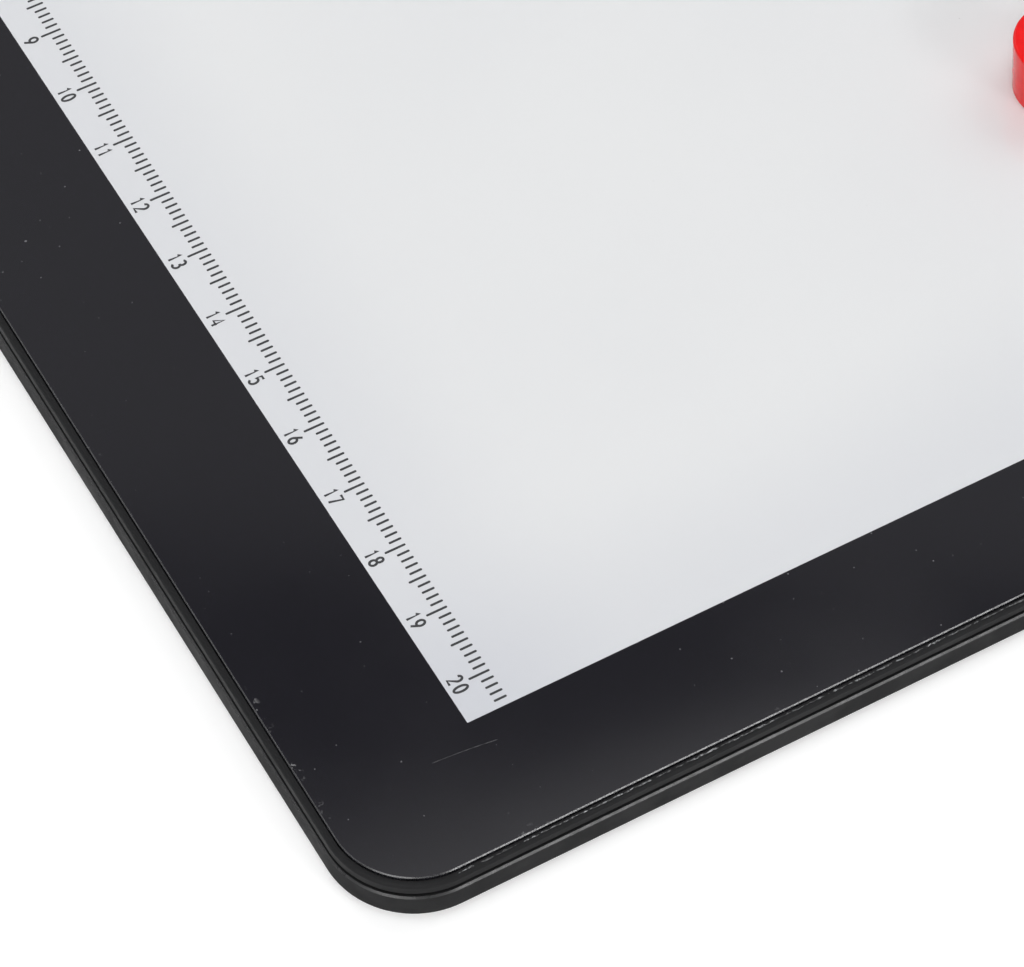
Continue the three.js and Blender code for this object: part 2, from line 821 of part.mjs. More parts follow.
// Leads: side by side off the board's left end, then one above the other through the notch to the strip
function leadWire(across, level) {
  const boardZ = boardTop + wireRadius;
  const padX = boardLeft + wirePadInset;
  const padY = boardBack + wirePadFromBack + across;
  const stripX = stripFace + wireRadius + wireLift;
  const bendStart = new THREE.Vector3(stripX + wireBend, padY, boardZ);
  const bendEnd = new THREE.Vector3(stripX, padY - wireBend, level);
  const corner = new THREE.Vector3(stripX, padY, (boardZ + level) / 2);
  const path = new THREE.CurvePath();
  path.add(new THREE.LineCurve3(new THREE.Vector3(padX, padY, boardZ), bendStart));
  path.add(new THREE.QuadraticBezierCurve3(bendStart, corner, bendEnd));
  path.add(new THREE.LineCurve3(bendEnd, new THREE.Vector3(stripX, stripFarEnd + wireEndGap, level)));
  const section = new THREE.Shape();
  section.absarc(0, 0, wireRadius, 0, 2 * Math.PI, false);
  return new THREE.ExtrudeGeometry(section, {
    steps: wireSteps, curveSegments: wireSides / 2, extrudePath: path, bevelEnabled: false,
  });
}

// Paper magnet

function magnetCap() {
  const low = panelTop;
  const high = panelTop + magnetHeight;
  const seat = low + discRecess + discThickness;
  const pocketRadius = discRadius + discClearance;
  const profile = [
    [pocketRadius, low],
    [magnetFootRadius - magnetFootFillet, low],
    [magnetFootRadius, low + magnetFootFillet],
  ];
  for (let k = 0; k <= filletSteps; k++) {
    const angle = Math.PI / 2 * k / filletSteps;
    profile.push([
      magnetTopRadius - magnetTopFillet + magnetTopFillet * Math.cos(angle),
      high - magnetTopFillet + magnetTopFillet * Math.sin(angle),
    ]);
  }
  profile.push([0, high], [0, seat], [pocketRadius, seat], [pocketRadius, low]);
  const geometry = turned(profile, magnetSides);
  geometry.translate(magnetPlaceX, magnetPlaceY, 0);
  return geometry;
}

function magnetDisc() {
  const low = panelTop + discRecess;
  const high = low + discThickness;
  const geometry = turned([
    [0, low],
    [discRadius - discEdgeBreak, low],
    [discRadius, low + discEdgeBreak],
    [discRadius, high - discEdgeBreak],
    [discRadius - discEdgeBreak, high],
    [0, high],
  ], magnetSides);
  geometry.translate(magnetPlaceX, magnetPlaceY, 0);
  return geometry;
}

// Assembly

addPart('back_shell', backShell(), colours.shell);
addPart('front_frame', frontFrame(), colours.frame);
addPart('front_panel', frontPanel(), colours.panel);
addPart('border_mask', borderMask(), colours.mask);
addPart('panel_tape', panelTape(), colours.tape);
addPart('steel_sheet', sheet(floorTop, steelTop), colours.steel);
addPart('reflector_sheet', sheet(steelTop, reflectorTop), colours.reflector);
addPart('light_guide', guideSlab(reflectorTop, guideTop), colours.guide);
addPart('diffuser_sheet', guideSlab(guideTop, diffuserTop), colours.diffuser);
addPart('led_strip', ledStrip(), colours.strip);
addPart('control_board', controlBoard(), colours.board);
addPart('driver_chip', driverChip(), colours.chip);
addPart('power_inductor', powerInductor(), colours.inductor);
addPart('input_capacitor', inputCapacitor(), colours.ceramic);
addPart('socket_shell', socketShell(), colours.nickel);
addPart('socket_tongue', socketTongue(), colours.insulator);
addPart('tact_switch', tactSwitch(), colours.insulator);
addPart('switch_plunger', switchPlunger(), colours.nickel);
addPart('power_button', powerButton(), colours.button);
addPart('lead_wire_positive', leadWire(wireSpacing, leadHigh), colours.wireRed);
addPart('lead_wire_negative', leadWire(0, leadHigh - wireSpacing), colours.wireBlack);
footPlaces.forEach((place, k) => addPart(`foot_${k + 1}`, foot(place), colours.rubber));
screwPlaces.forEach((place, k) => addPart(`case_screw_${k + 1}`, caseScrew(place), colours.nickel));
boardScrewPlaces.forEach((place, k) => addPart(`board_screw_${k + 1}`, boardScrew(place), colours.nickel));
addPart('magnet_cap', magnetCap(), colours.red);
addPart('magnet_disc', magnetDisc(), colours.nickel);

export default group;
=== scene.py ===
"""The looks of an LED tracing pad for A4 sheets, built round its packed construction.

The construction comes in as a fixed frame, in metres. New pieces are shaped in millimetres on the
same axes: X along the ruled edge, Y away from it and Z up. Each is set down in metres at the end.
"""

import logging
import math
import random
from contextlib import contextmanager
from dataclasses import dataclass
from enum import Enum
from typing import Any, Callable, Iterator, Sequence

import bmesh
import bpy
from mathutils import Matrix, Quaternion, Vector


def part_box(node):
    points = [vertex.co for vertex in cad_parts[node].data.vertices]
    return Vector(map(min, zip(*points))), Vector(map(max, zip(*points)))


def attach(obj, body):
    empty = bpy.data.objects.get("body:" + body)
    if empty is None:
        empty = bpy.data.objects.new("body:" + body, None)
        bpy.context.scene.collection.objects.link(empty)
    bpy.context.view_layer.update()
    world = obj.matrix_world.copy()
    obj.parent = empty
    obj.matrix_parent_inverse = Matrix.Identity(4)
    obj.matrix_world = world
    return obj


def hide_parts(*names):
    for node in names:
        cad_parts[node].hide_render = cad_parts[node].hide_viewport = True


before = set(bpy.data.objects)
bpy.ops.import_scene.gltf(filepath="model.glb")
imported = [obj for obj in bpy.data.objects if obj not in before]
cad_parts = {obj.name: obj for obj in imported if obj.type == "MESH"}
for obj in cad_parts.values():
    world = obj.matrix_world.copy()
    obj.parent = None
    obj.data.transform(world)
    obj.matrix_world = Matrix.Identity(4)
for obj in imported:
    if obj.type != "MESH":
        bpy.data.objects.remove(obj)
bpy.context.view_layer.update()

LOG = logging.getLogger("tracing_pad")
MM = 0.001
NEAR = 0.002
CORNER_STEPS = 24
ROUND_SIDES = 64
FINE_SIDES = 48
POST_SIDES = 40
BORE_SIDES = 32
FILLET_STEPS = 8
BREAK_STEPS = 2
CHAMFER_STEPS = 1
FOOT_COUNT = 4
OVERRUN = 1.0
ROUND_SLACK = 0.01
ON_RING = 10 * NEAR
DOUBLED = NEAR / 10
LEVEL_NORMAL = 0.99
OUTER_NOISE = (0.3, 0.7)
INNER_NOISE = (0.35, 0.65)

Colour = tuple[float, float, float, float]
Place = tuple[float, float]
Point = tuple[float, float, float]
Test = Callable[[Any], bool]
Value = Any
WHITE: Colour = (1.0, 1.0, 1.0, 1.0)


def srgb(red: int, green: int, blue: int) -> Colour:
    """Turns a colour as it looks into the linear one that a shader takes.

    Args:
        red: the red part, 0 to 255.
        green: the green part, 0 to 255.
        blue: the blue part, 0 to 255.

    Returns:
        The linear colour, with full alpha.
    """
    parts = [part / 255 for part in (red, green, blue)]
    lifted = [
        part / 12.92 if part <= 0.04045 else ((part + 0.055) / 1.055) ** 2.4 for part in parts
    ]
    return (lifted[0], lifted[1], lifted[2], 1.0)


def shaded(colour: Colour, share: float) -> Colour:
    """Gives the colour made lighter or darker by a share of itself."""
    return tuple(min(1.0, part * share) for part in colour[:3]) + (1.0,)


@dataclass(frozen=True)
class RoundedPlan:
    """A rectangle with round corners, seen from above, in millimetres."""

    half_x: float
    half_y: float
    radius: float
    x: float = 0.0
    y: float = 0.0

    def grown(self, out: float) -> "RoundedPlan":
        """Gives the same outline a set distance further out."""
        return RoundedPlan(self.half_x + out, self.half_y + out, self.radius + out, self.x, self.y)

    def distance(self, point: Vector) -> float:
        """Measures how far a point lies outside the outline, less than zero inside.

        Args:
            point: the point, in millimetres.

        Returns:
            The distance in millimetres.
        """
        across = abs(point.x - self.x) - (self.half_x - self.radius)
        along = abs(point.y - self.y) - (self.half_y - self.radius)
        beyond = math.hypot(max(across, 0.0), max(along, 0.0))
        return beyond + min(max(across, along), 0.0) - self.radius


# Materials


class Recipe:
    """One material's nodes. Each method adds some and gives the socket that the next one reads."""

    def __init__(self, name: str) -> None:
        """Starts a material with one shader, and places measured in millimetres.

        Args:
            name: the material's name.
        """
        self.material = bpy.data.materials.new(name)
        self.material.use_nodes = True
        self.nodes = self.material.node_tree.nodes
        self.links = self.material.node_tree.links
        self.nodes.clear()
        self.shader = self.add("BsdfPrincipled")
        self.output = self.add("OutputMaterial", self.shader.outputs[0])
        self.place = self.vector("SCALE", self.add("TexCoord").outputs["Object"], scale=1 / MM)

    def feed(self, socket: bpy.types.NodeSocket, value: Value) -> None:
        """Links a socket to another one, or sets it where the value is plain.

        Args:
            socket: the socket that is fed.
            value: another socket, or a plain value.
        """
        if isinstance(value, bpy.types.NodeSocket):
            self.links.new(value, socket)
        else:
            socket.default_value = value

    def add(self, kind: str, *values: Value) -> bpy.types.Node:
        """Adds a node and feeds its first sockets, in their order.

        Args:
            kind: the node's type, without its usual beginning.
            values: what its first sockets get.

        Returns:
            The node.
        """
        node = self.nodes.new(f"ShaderNode{kind}")
        for socket, value in zip(node.inputs, values):
            self.feed(socket, value)
        return node

    def dress(self, **values: Value) -> None:
        """Feeds the shader's sockets, named in lower case with underscores for spaces.

        Args:
            values: what each socket gets.
        """
        sockets = {socket.name.lower().replace(" ", "_"): socket for socket in self.shader.inputs}
        for name, value in values.items():
            self.feed(sockets[name], value)

    def vector(
        self, operation: str, first: Value, second: Value = None, scale: float = 1.0
    ) -> Value:
        """Adds a step of vector arithmetic.

        Args:
            operation: the node's operation.
            first: the first vector.
            second: the second vector, where the operation has one.
            scale: the factor of a SCALE.

        Returns:
            The vector, or the number where the operation gives one.
        """
        node = self.add("VectorMath", first)
        node.operation = operation
        if second is not None:
            self.feed(node.inputs[1], second)
        if operation == "SCALE":
            node.inputs["Scale"].default_value = scale
        return node.outputs["Value" if operation == "DOT_PRODUCT" else "Vector"]

    def math(self, operation: str, first: Value, second: Value = 0.0) -> Value:
        """Adds a step of arithmetic on two numbers, and gives its result.

        Args:
            operation: the node's operation.
            first: the first number.
            second: the second number.

        Returns:
            The result.
        """
        node = self.add("Math", first, second)
        node.operation = operation
        return node.outputs[0]

    def product(self, *factors: Value) -> Value:
        """Multiplies numbers, from the first to the last.

        Args:
            factors: the numbers.

        Returns:
            Their product.
        """
        result = factors[0]
        for factor in factors[1:]:
            result = self.math("MULTIPLY", result, factor)
        return result

    def apart(self, first: Value, second: Value) -> Value:
        """Gives how far two numbers lie apart."""
        return self.math("ABSOLUTE", self.math("SUBTRACT", first, second))

    def split(self, vector: Value) -> Sequence[Value]:
        """Takes a vector or colour apart into its three numbers."""
        return list(self.add("SeparateXYZ", vector).outputs)

    def ramp(
        self, value: Value, start: float, end: float, low: Value = 0.0, high: Value = 1.0
    ) -> Value:
        """Carries a number smoothly from one range to another, and no further.

        Args:
            value: the number.
            start: where the ramp starts.
            end: where it ends, which may be lower.
            low: what it gives at the start.
            high: what it gives at the end.

        Returns:
            The number in its new range.
        """
        node = self.add("MapRange", value, start, end, low, high)
        node.interpolation_type = "SMOOTHSTEP"
        return node.outputs[0]

    def spread(self, noise: Value, low: Value = 0.0, high: Value = 1.0) -> Value:
        """Carries the range in which most noise lies to another one."""
        return self.ramp(noise, *OUTER_NOISE, low, high)

    def fade(self, share: Value, low: Value, high: Value) -> Value:
        """Goes from one number to another as a share goes from 0 to 1."""
        return self.ramp(share, 0.0, 1.0, low, high)

    def mix(self, share: Value, first: Value, second: Value) -> Value:
        """Mixes two colours, where a share of 1 is all of the second.

        Args:
            share: how much of the second.
            first: the first colour.
            second: the second colour.

        Returns:
            The mixed colour.
        """
        node = self.add("Mix")
        node.data_type = "RGBA"
        self.feed(node.inputs["Factor"], share)
        first_colour, second_colour = [socket for socket in node.inputs if socket.type == "RGBA"]
        self.feed(first_colour, first)
        self.feed(second_colour, second)
        return [socket for socket in node.outputs if socket.type == "RGBA"][0]

    def tone(self, share: Value, colour: Colour, low: float, high: float) -> Value:
        """Shades a colour from one share of itself to another."""
        return self.mix(share, shaded(colour, low), shaded(colour, high))

    def noise(self, size: float, detail: float = 2.0, stretch: Point = (1.0, 1.0, 1.0)) -> Value:
        """Adds soft noise.

        Args:
            size: about how large its features are, in millimetres.
            detail: how many finer octaves it has.
            stretch: how much longer it is along each axis.

        Returns:
            The noise, near 0.5 on average.
        """
        node = self.add("TexNoise")
        node.inputs["Scale"].default_value = 1 / size
        node.inputs["Detail"].default_value = detail
        self.feed(node.inputs["Vector"], self.vector("DIVIDE", self.place, stretch))
        return node.outputs[0]

    def cells(self, size: float, regular: bool = False) -> bpy.types.Node:
        """Adds a flat pattern of cells of a size in millimetres, on a square grid where regular.

        Args:
            size: the size of a cell, in millimetres.
            regular: whether they lie on a square grid.

        Returns:
            The node, for its colours and distances.
        """
        node = self.add("TexVoronoi")
        node.voronoi_dimensions = "2D"
        node.inputs["Scale"].default_value = 1 / size
        node.inputs["Randomness"].default_value = 0.0 if regular else 1.0
        self.feed(node.inputs["Vector"], self.place)
        return node

    def specks(self, cell: float, size: float, share: float) -> Value:
        """Scatters round specks over a level face.

        Args:
            cell: the size of the cell that holds one speck at most.
            size: the radius of the largest speck.
            share: the share of the cells that hold one.

        Returns:
            1 in a speck and 0 beside it.
        """
        cells = self.cells(cell)
        pick, spread, _ = self.split(cells.outputs["Color"])
        reach = self.product(spread, size / cell)
        inside = self.math("LESS_THAN", cells.outputs["Distance"], reach)
        return self.product(inside, self.math("LESS_THAN", pick, share))

    def outside(self, plan: RoundedPlan) -> Value:
        """Gives how far a point lies outside an outline about the middle, less than zero inside.

        Args:
            plan: the outline.

        Returns:
            The distance in millimetres.
        """
        x, y, _ = self.split(self.place)
        across = self.math("SUBTRACT", self.math("ABSOLUTE", x), plan.half_x - plan.radius)
        along = self.math("SUBTRACT", self.math("ABSOLUTE", y), plan.half_y - plan.radius)
        wide = self.math("POWER", self.math("MAXIMUM", across), 2.0)
        deep = self.math("POWER", self.math("MAXIMUM", along), 2.0)
        beyond = self.math("SQRT", self.math("ADD", wide, deep))
        within = self.math("MINIMUM", self.math("MAXIMUM", across, along))
        return self.math("SUBTRACT", self.math("ADD", beyond, within), plan.radius)

    def bump(self, height: Value, depth: float) -> Value:
        """Raises a relief of 0 to 1 by a depth in millimetres, and gives the normal.

        Args:
            height: the relief.
            depth: how high 1 stands, in millimetres.

        Returns:
            The normal for the shader.
        """
        node = self.add("Bump")
        node.inputs["Distance"].default_value = depth * MM
        self.feed(node.inputs["Height"], height)
        return node.outputs[0]


@dataclass(frozen=True)
class Finish:
    """What a surface is made of. Each kind of finish fills its own recipe."""

    name: str

    def fill(self, recipe: Recipe) -> None:
        """Adds this finish's nodes to a recipe."""
        raise NotImplementedError

    def material(self) -> bpy.types.Material:
        """Gives the finish's material, made at the first call.

        Returns:
            The material.
        """
        known = bpy.data.materials.get(self.name)
        if known is None:
            recipe = Recipe(self.name)
            self.fill(recipe)
            known = recipe.material
        return known


@dataclass(frozen=True)
class MouldedPlastic(Finish):
    """Moulded plastic, rubber or resin with an eroded grain and an uneven sheen."""

    colour: Colour
    roughness: float = 0.5
    grain: float = 0.35
    grain_depth: float = 0.012
    unevenness: float = 0.12
    patch: float = 18.0
    sheen: float = 0.06
    reflectance: float = 0.25
    patch_split: float = 3.0

    def fill(self, recipe: Recipe) -> None:
        """Mottles the colour, varies the sheen and raises the grain.

        Args:
            recipe: the recipe that is filled.
        """
        broad = recipe.noise(self.patch, 3)
        handled = recipe.noise(self.patch / self.patch_split, 4)
        rough = (self.roughness - self.sheen, self.roughness + self.sheen)
        recipe.dress(
            base_color=recipe.tone(broad, self.colour, 1 - self.unevenness, 1 + self.unevenness),
            roughness=recipe.ramp(handled, *INNER_NOISE, *rough),
            specular_ior_level=self.reflectance,
            normal=recipe.bump(recipe.noise(self.grain, 3), self.grain_depth),
        )


@dataclass(frozen=True)
class ClearFace(Finish):
    """The clear face over a print or a film, smeared by hands and slightly wavy."""

    plan: RoundedPlan
    roughness: float = 0.08
    sheen: float = 0.03
    smear_size: float = 30.0
    smear_range: Place = (0.4, 0.7)
    wave_size: float = 16.0
    wave_depth: float = 0.004

    def smear(self, recipe: Recipe) -> Value:
        """Gives the roughness, a little duller in the smears."""
        smears = recipe.noise(self.smear_size, 3)
        return recipe.ramp(smears, *self.smear_range, self.roughness, self.roughness + self.sheen)

    def wave(self, recipe: Recipe) -> Value:
        """Gives the normal of the wavy face."""
        return recipe.bump(recipe.noise(self.wave_size, 1), self.wave_depth)


@dataclass(frozen=True)
class GlossBorder(ClearFace):
    """Black ink behind a clear face, with dust, one hairline scratch and scuffs along its edge."""

    roughness: float = 0.075
    worn_roughness: float = 0.6
    ink: Colour = srgb(18, 17, 25)
    ink_patch: float = 40.0
    ink_tones: Place = (0.85, 1.0)
    dust: Colour = srgb(104, 104, 108)
    fine_dust: Point = (4.0, 0.1, 0.5)
    large_dust: Point = (14.0, 0.15, 0.5)
    drift_size: float = 45.0
    drift_range: Place = (0.42, 0.6)
    drift_least: float = 0.15
    scratch_start: Point = (107.75, -161.3, 0.0)
    scratch_way: Point = (0.063, 0.998, 0.0)
    scratch_length: float = 8.4
    scratch_width: float = 0.06
    scratch_bow: float = -0.005
    scratch_fade: float = 0.5
    scratch_grain: float = 0.9
    scratch_cover: Place = (0.15, 0.6)
    scuff: Colour = srgb(112, 112, 114)
    scuff_band: float = 1.3
    scuff_full: float = 0.3
    stretch_size: float = 14.0
    stretch_range: Place = (0.62, 0.7)
    chip_size: float = 0.7
    chip_range: Place = (0.6, 0.66)

    def scratch(self, recipe: Recipe) -> Value:
        """Draws the hairline, which bows a little and fades in places.

        Args:
            recipe: the recipe that it is added to.

        Returns:
            1 on the line and 0 beside it.
        """
        way = Vector(self.scratch_way)
        side = Vector((-way.y, way.x, 0))
        offset = recipe.vector("SUBTRACT", recipe.place, self.scratch_start)
        along = recipe.vector("DOT_PRODUCT", offset, way)
        across = recipe.vector("DOT_PRODUCT", offset, side)
        bowed = recipe.product(recipe.math("POWER", along, 2.0), self.scratch_bow)
        line = recipe.ramp(recipe.apart(across, bowed), self.scratch_width, 0.0)
        near_end = recipe.ramp(along, 0.0, self.scratch_fade)
        far_end = recipe.ramp(along, self.scratch_length, self.scratch_length - self.scratch_fade)
        faint = recipe.spread(recipe.noise(self.scratch_grain), *self.scratch_cover)
        return recipe.product(line, recipe.product(near_end, far_end), faint)

    def scuffs(self, recipe: Recipe) -> Value:
        """Scatters chips along the outermost strip, in a few short stretches.

        Args:
            recipe: the recipe that they are added to.

        Returns:
            1 in a chip and 0 beside it.
        """
        strip = recipe.ramp(recipe.outside(self.plan), -self.scuff_band, -self.scuff_full)
        stretch = recipe.ramp(recipe.noise(self.stretch_size, 1), *self.stretch_range)
        chips = recipe.ramp(recipe.noise(self.chip_size, 3), *self.chip_range)
        return recipe.product(strip, stretch, chips)

    def fill(self, recipe: Recipe) -> None:
        """Lays dust, scratch and scuffs over the ink.

        Args:
            recipe: the recipe that is filled.
        """
        fine_dust, large_dust = recipe.specks(*self.fine_dust), recipe.specks(*self.large_dust)
        dust = recipe.math("MAXIMUM", fine_dust, large_dust)
        drift = recipe.noise(self.drift_size, 1)
        marks = recipe.product(dust, recipe.ramp(drift, *self.drift_range, self.drift_least, 1.0))
        worn = recipe.math("MAXIMUM", self.scratch(recipe), self.scuffs(recipe))
        matt = recipe.math("MAXIMUM", marks, worn)
        ink = recipe.tone(recipe.noise(self.ink_patch), self.ink, *self.ink_tones)
        recipe.dress(
            base_color=recipe.mix(worn, recipe.mix(marks, ink, self.dust), self.scuff),
            roughness=recipe.fade(matt, self.smear(recipe), self.worn_roughness),
            normal=self.wave(recipe),
        )


@dataclass(frozen=True)
class MilkyWindow(ClearFace):
    """The unlit drawing window: white film behind a clear face, with painted shade that makes it
    darker and bluer towards its edges.
    """

    roughness: float = 0.085
    smear_size: float = 24.0
    smear_range: Place = (0.35, 0.7)
    middle: Colour = srgb(226, 227, 228)
    # the colour of the painted shade in the window's corners, darker and bluer than the middle
    corner: Colour = srgb(204, 206, 212)
    edge_reach: float = 26.0
    edge_share: float = 0.5
    cloud_size: float = 55.0
    cloud_share: float = 0.12
    dust: Colour = srgb(120, 120, 122)
    specks: Point = (21.0, 0.13, 0.3)
    dust_share: float = 0.25

    def fill(self, recipe: Recipe) -> None:
        """Paints shade on the film towards its edges, with a faint cloud and a little dust.

        Args:
            recipe: the recipe that is filled.
        """
        x, y, _ = recipe.split(recipe.place)
        # painted shade: each edge darkens the film, and both together darken a corner most
        near_side, near_end = (
            recipe.ramp(
                recipe.math("ABSOLUTE", value), half - self.edge_reach, half, 0.0, self.edge_share
            )
            for value, half in ((x, self.plan.half_x), (y, self.plan.half_y))
        )
        film = recipe.mix(recipe.math("ADD", near_side, near_end), self.middle, self.corner)
        cloud = recipe.spread(recipe.noise(self.cloud_size, 2), 0.0, self.cloud_share)
        dust = recipe.product(recipe.specks(*self.specks), self.dust_share)
        recipe.dress(
            base_color=recipe.mix(dust, recipe.mix(cloud, film, self.corner), self.dust),
            roughness=self.smear(recipe),
            normal=self.wave(recipe),
        )


@dataclass(frozen=True)
class CutEdge(Finish):
    """The trimmed rim of the clear sheet, greyish where the trimming left it dull."""

    colour: Colour = srgb(30, 30, 34)
    tones: Place = (0.55, 1.35)
    streak_size: float = 1.6
    nick_size: float = 0.25
    nick_depth: float = 0.01
    roughness: Place = (0.22, 0.34)
    reflectance: float = 0.9

    def fill(self, recipe: Recipe) -> None:
        """Streaks the rim along its length and nicks it.

        Args:
            recipe: the recipe that is filled.
        """
        streak = recipe.ramp(recipe.noise(self.streak_size, 4), *INNER_NOISE)
        nick = recipe.noise(self.nick_size, 2)
        recipe.dress(
            base_color=recipe.tone(streak, self.colour, *self.tones),
            roughness=recipe.spread(nick, *self.roughness),
            specular_ior_level=self.reflectance,
            normal=recipe.bump(nick, self.nick_depth),
        )


@dataclass(frozen=True)
class DriedGlue(Finish):
    """Dark dried glue, with painted glints: pale short broken dashes on its crumbled skin."""

    colour: Colour = srgb(36, 36, 38)
    # the pale colour of the painted glints on the skin
    glint: Colour = srgb(158, 160, 162)
    grain: float = 0.4
    grain_depth: float = 0.05
    glint_range: Place = (0.46, 0.6)
    stretch_share: float = 8.0
    stretch_range: Place = (0.4, 0.6)
    stretch_least: float = 0.25
    roughness: Place = (0.35, 0.2)
    reflectance: float = 0.7

    def fill(self, recipe: Recipe) -> None:
        """Breaks the skin into crumbs and paints pale glints on some of them.

        Args:
            recipe: the recipe that is filled.
        """
        crumb = recipe.noise(self.grain, 3)
        broad = recipe.noise(self.grain * self.stretch_share, 2)
        stretch = recipe.ramp(broad, *self.stretch_range, self.stretch_least, 1.0)
        # painted glints: pale crumbs, gathered in broken stretches
        glint = recipe.product(recipe.ramp(crumb, *self.glint_range), stretch)
        recipe.dress(
            base_color=recipe.mix(glint, self.colour, self.glint),
            roughness=recipe.fade(glint, *self.roughness),
            specular_ior_level=self.reflectance,
            normal=recipe.bump(crumb, self.grain_depth),
        )


@dataclass(frozen=True)
class PrintInk(Finish):
    """Screen ink with slightly uneven cover."""

    colour: Colour = srgb(46, 46, 49)
    tones: Place = (1.0, 1.3)
    grain: float = 0.35
    grain_depth: float = 0.002
    cover_range: Place = (0.35, 0.7)
    roughness: Place = (0.4, 0.55)

    def fill(self, recipe: Recipe) -> None:
        """Varies the cover over a few tenths of a millimetre.

        Args:
            recipe: the recipe that is filled.
        """
        cover = recipe.ramp(recipe.noise(self.grain, 3), *self.cover_range)
        recipe.dress(
            base_color=recipe.tone(cover, self.colour, *self.tones),
            roughness=recipe.fade(cover, *self.roughness),
            normal=recipe.bump(cover, self.grain_depth),
        )


@dataclass(frozen=True)
class PlatedMetal(Finish):
    """Plated or rolled metal with fine drawn lines along one axis."""

    colour: Colour = srgb(186, 189, 193)
    roughness: float = 0.3
    line: Point = (14.0, 0.25, 0.25)
    line_size: float = 0.5
    line_depth: float = 0.004
    patch: float = 7.0
    tones: Place = (0.86, 1.0)
    smoother: float = 0.07
    rougher: float = 0.1

    def fill(self, recipe: Recipe) -> None:
        """Draws the lines and dulls the plate in soft patches.

        Args:
            recipe: the recipe that is filled.
        """
        lines = recipe.noise(self.line_size, 4, self.line)
        rough = (self.roughness - self.smoother, self.roughness + self.rougher)
        recipe.dress(
            base_color=recipe.tone(recipe.noise(self.patch, 3), self.colour, *self.tones),
            metallic=1.0,
            roughness=recipe.spread(lines, *rough),
            normal=recipe.bump(lines, self.line_depth),
        )


@dataclass(frozen=True)
class GlossPlastic(Finish):
    """Shiny moulded plastic with the faint ripple of its mould and a few rubbed marks."""

    colour: Colour = srgb(230, 22, 24)
    tones: Place = (1.0, 1.12)
    roughness: float = 0.12
    rougher: float = 0.1
    reflectance: float = 0.2
    rub_size: float = 2.6
    rub_range: Place = (0.52, 0.75)
    ripple_size: float = 3.0
    ripple_depth: float = 0.01

    def fill(self, recipe: Recipe) -> None:
        """Ripples the skin, and rubs it a little paler and duller in places.

        Args:
            recipe: the recipe that is filled.
        """
        rubbed = recipe.ramp(recipe.noise(self.rub_size, 5), *self.rub_range)
        recipe.dress(
            base_color=recipe.tone(rubbed, self.colour, *self.tones),
            roughness=recipe.fade(rubbed, self.roughness, self.roughness + self.rougher),
            specular_ior_level=self.reflectance,
            normal=recipe.bump(recipe.noise(self.ripple_size, 1), self.ripple_depth),
        )


@dataclass(frozen=True)
class CircuitBoard(Finish):
    """Green solder mask over copper tracks, with bare board on the cut sides."""

    mask: Colour = srgb(20, 78, 48)
    track: Colour = srgb(34, 104, 62)
    pitch: float = 1.6
    run: Point = (4.0, 1.0, 1.0)
    half_track: Place = (0.05, 0.03)
    track_share: float = 0.8
    pad_share: float = 0.2
    roughness: Place = (0.3, 0.42)
    relief: float = 0.03

    def fill(self, recipe: Recipe) -> None:
        """Draws broken tracks on a square grid under the mask.

        Args:
            recipe: the recipe that is filled.
        """
        cells = recipe.cells(self.pitch, regular=True)
        route, turn, _ = recipe.split(cells.outputs["Color"])
        weave = recipe.noise(self.pitch, 1, self.run)
        line = recipe.ramp(recipe.apart(weave, 0.5), *self.half_track)
        tracks = recipe.product(line, recipe.math("LESS_THAN", route, self.track_share))
        pads = recipe.math("LESS_THAN", cells.outputs["Distance"], self.pad_share)
        shown = recipe.math("MAXIMUM", tracks, recipe.product(pads, turn))
        recipe.dress(
            base_color=recipe.mix(shown, self.mask, self.track),
            roughness=recipe.fade(shown, *self.roughness),
            normal=recipe.bump(shown, self.relief),
        )


@dataclass(frozen=True)
class DottedGuide(Finish):
    """Clear guide plate with a grid of white dots that grow away from the lamps."""

    clear: Colour = srgb(222, 232, 234)
    dot: Colour = srgb(246, 247, 246)
    pitch: float = 1.4
    near_x: float = -109.0
    far_x: float = 109.0
    dot_sizes: Place = (0.12, 0.4)
    roughness: Place = (0.06, 0.5)
    relief: float = 0.01

    def fill(self, recipe: Recipe) -> None:
        """Spaces the dots and swells them along X.

        Args:
            recipe: the recipe that is filled.
        """
        x, _, _ = recipe.split(recipe.place)
        swell = recipe.ramp(x, self.near_x, self.far_x, *self.dot_sizes)
        distance = recipe.cells(self.pitch, regular=True).outputs["Distance"]
        dots = recipe.math("LESS_THAN", distance, swell)
        recipe.dress(
            base_color=recipe.mix(dots, self.clear, self.dot),
            roughness=recipe.fade(dots, *self.roughness),
            normal=recipe.bump(dots, self.relief),
        )


@dataclass(frozen=True)
class LampStrip(Finish):
    """White flexible strip whose lamps carry yellow phosphor on their faces."""

    film: Colour = srgb(238, 236, 226)
    tones: Place = (0.9, 1.0)
    phosphor: Colour = srgb(226, 196, 84)
    face_x: float = -109.3
    grain: float = 0.3
    grain_depth: float = 0.01
    roughness: Place = (0.4, 0.6)

    def fill(self, recipe: Recipe) -> None:
        """Colours the lamp faces by how far they stand out from the film.

        Args:
            recipe: the recipe that is filled.
        """
        x, _, _ = recipe.split(recipe.place)
        face = recipe.math("GREATER_THAN", x, self.face_x)
        grain = recipe.noise(self.grain, 2)
        recipe.dress(
            base_color=recipe.mix(face, recipe.tone(grain, self.film, *self.tones), self.phosphor),
            roughness=recipe.spread(grain, *self.roughness),
            normal=recipe.bump(grain, self.grain_depth),
        )


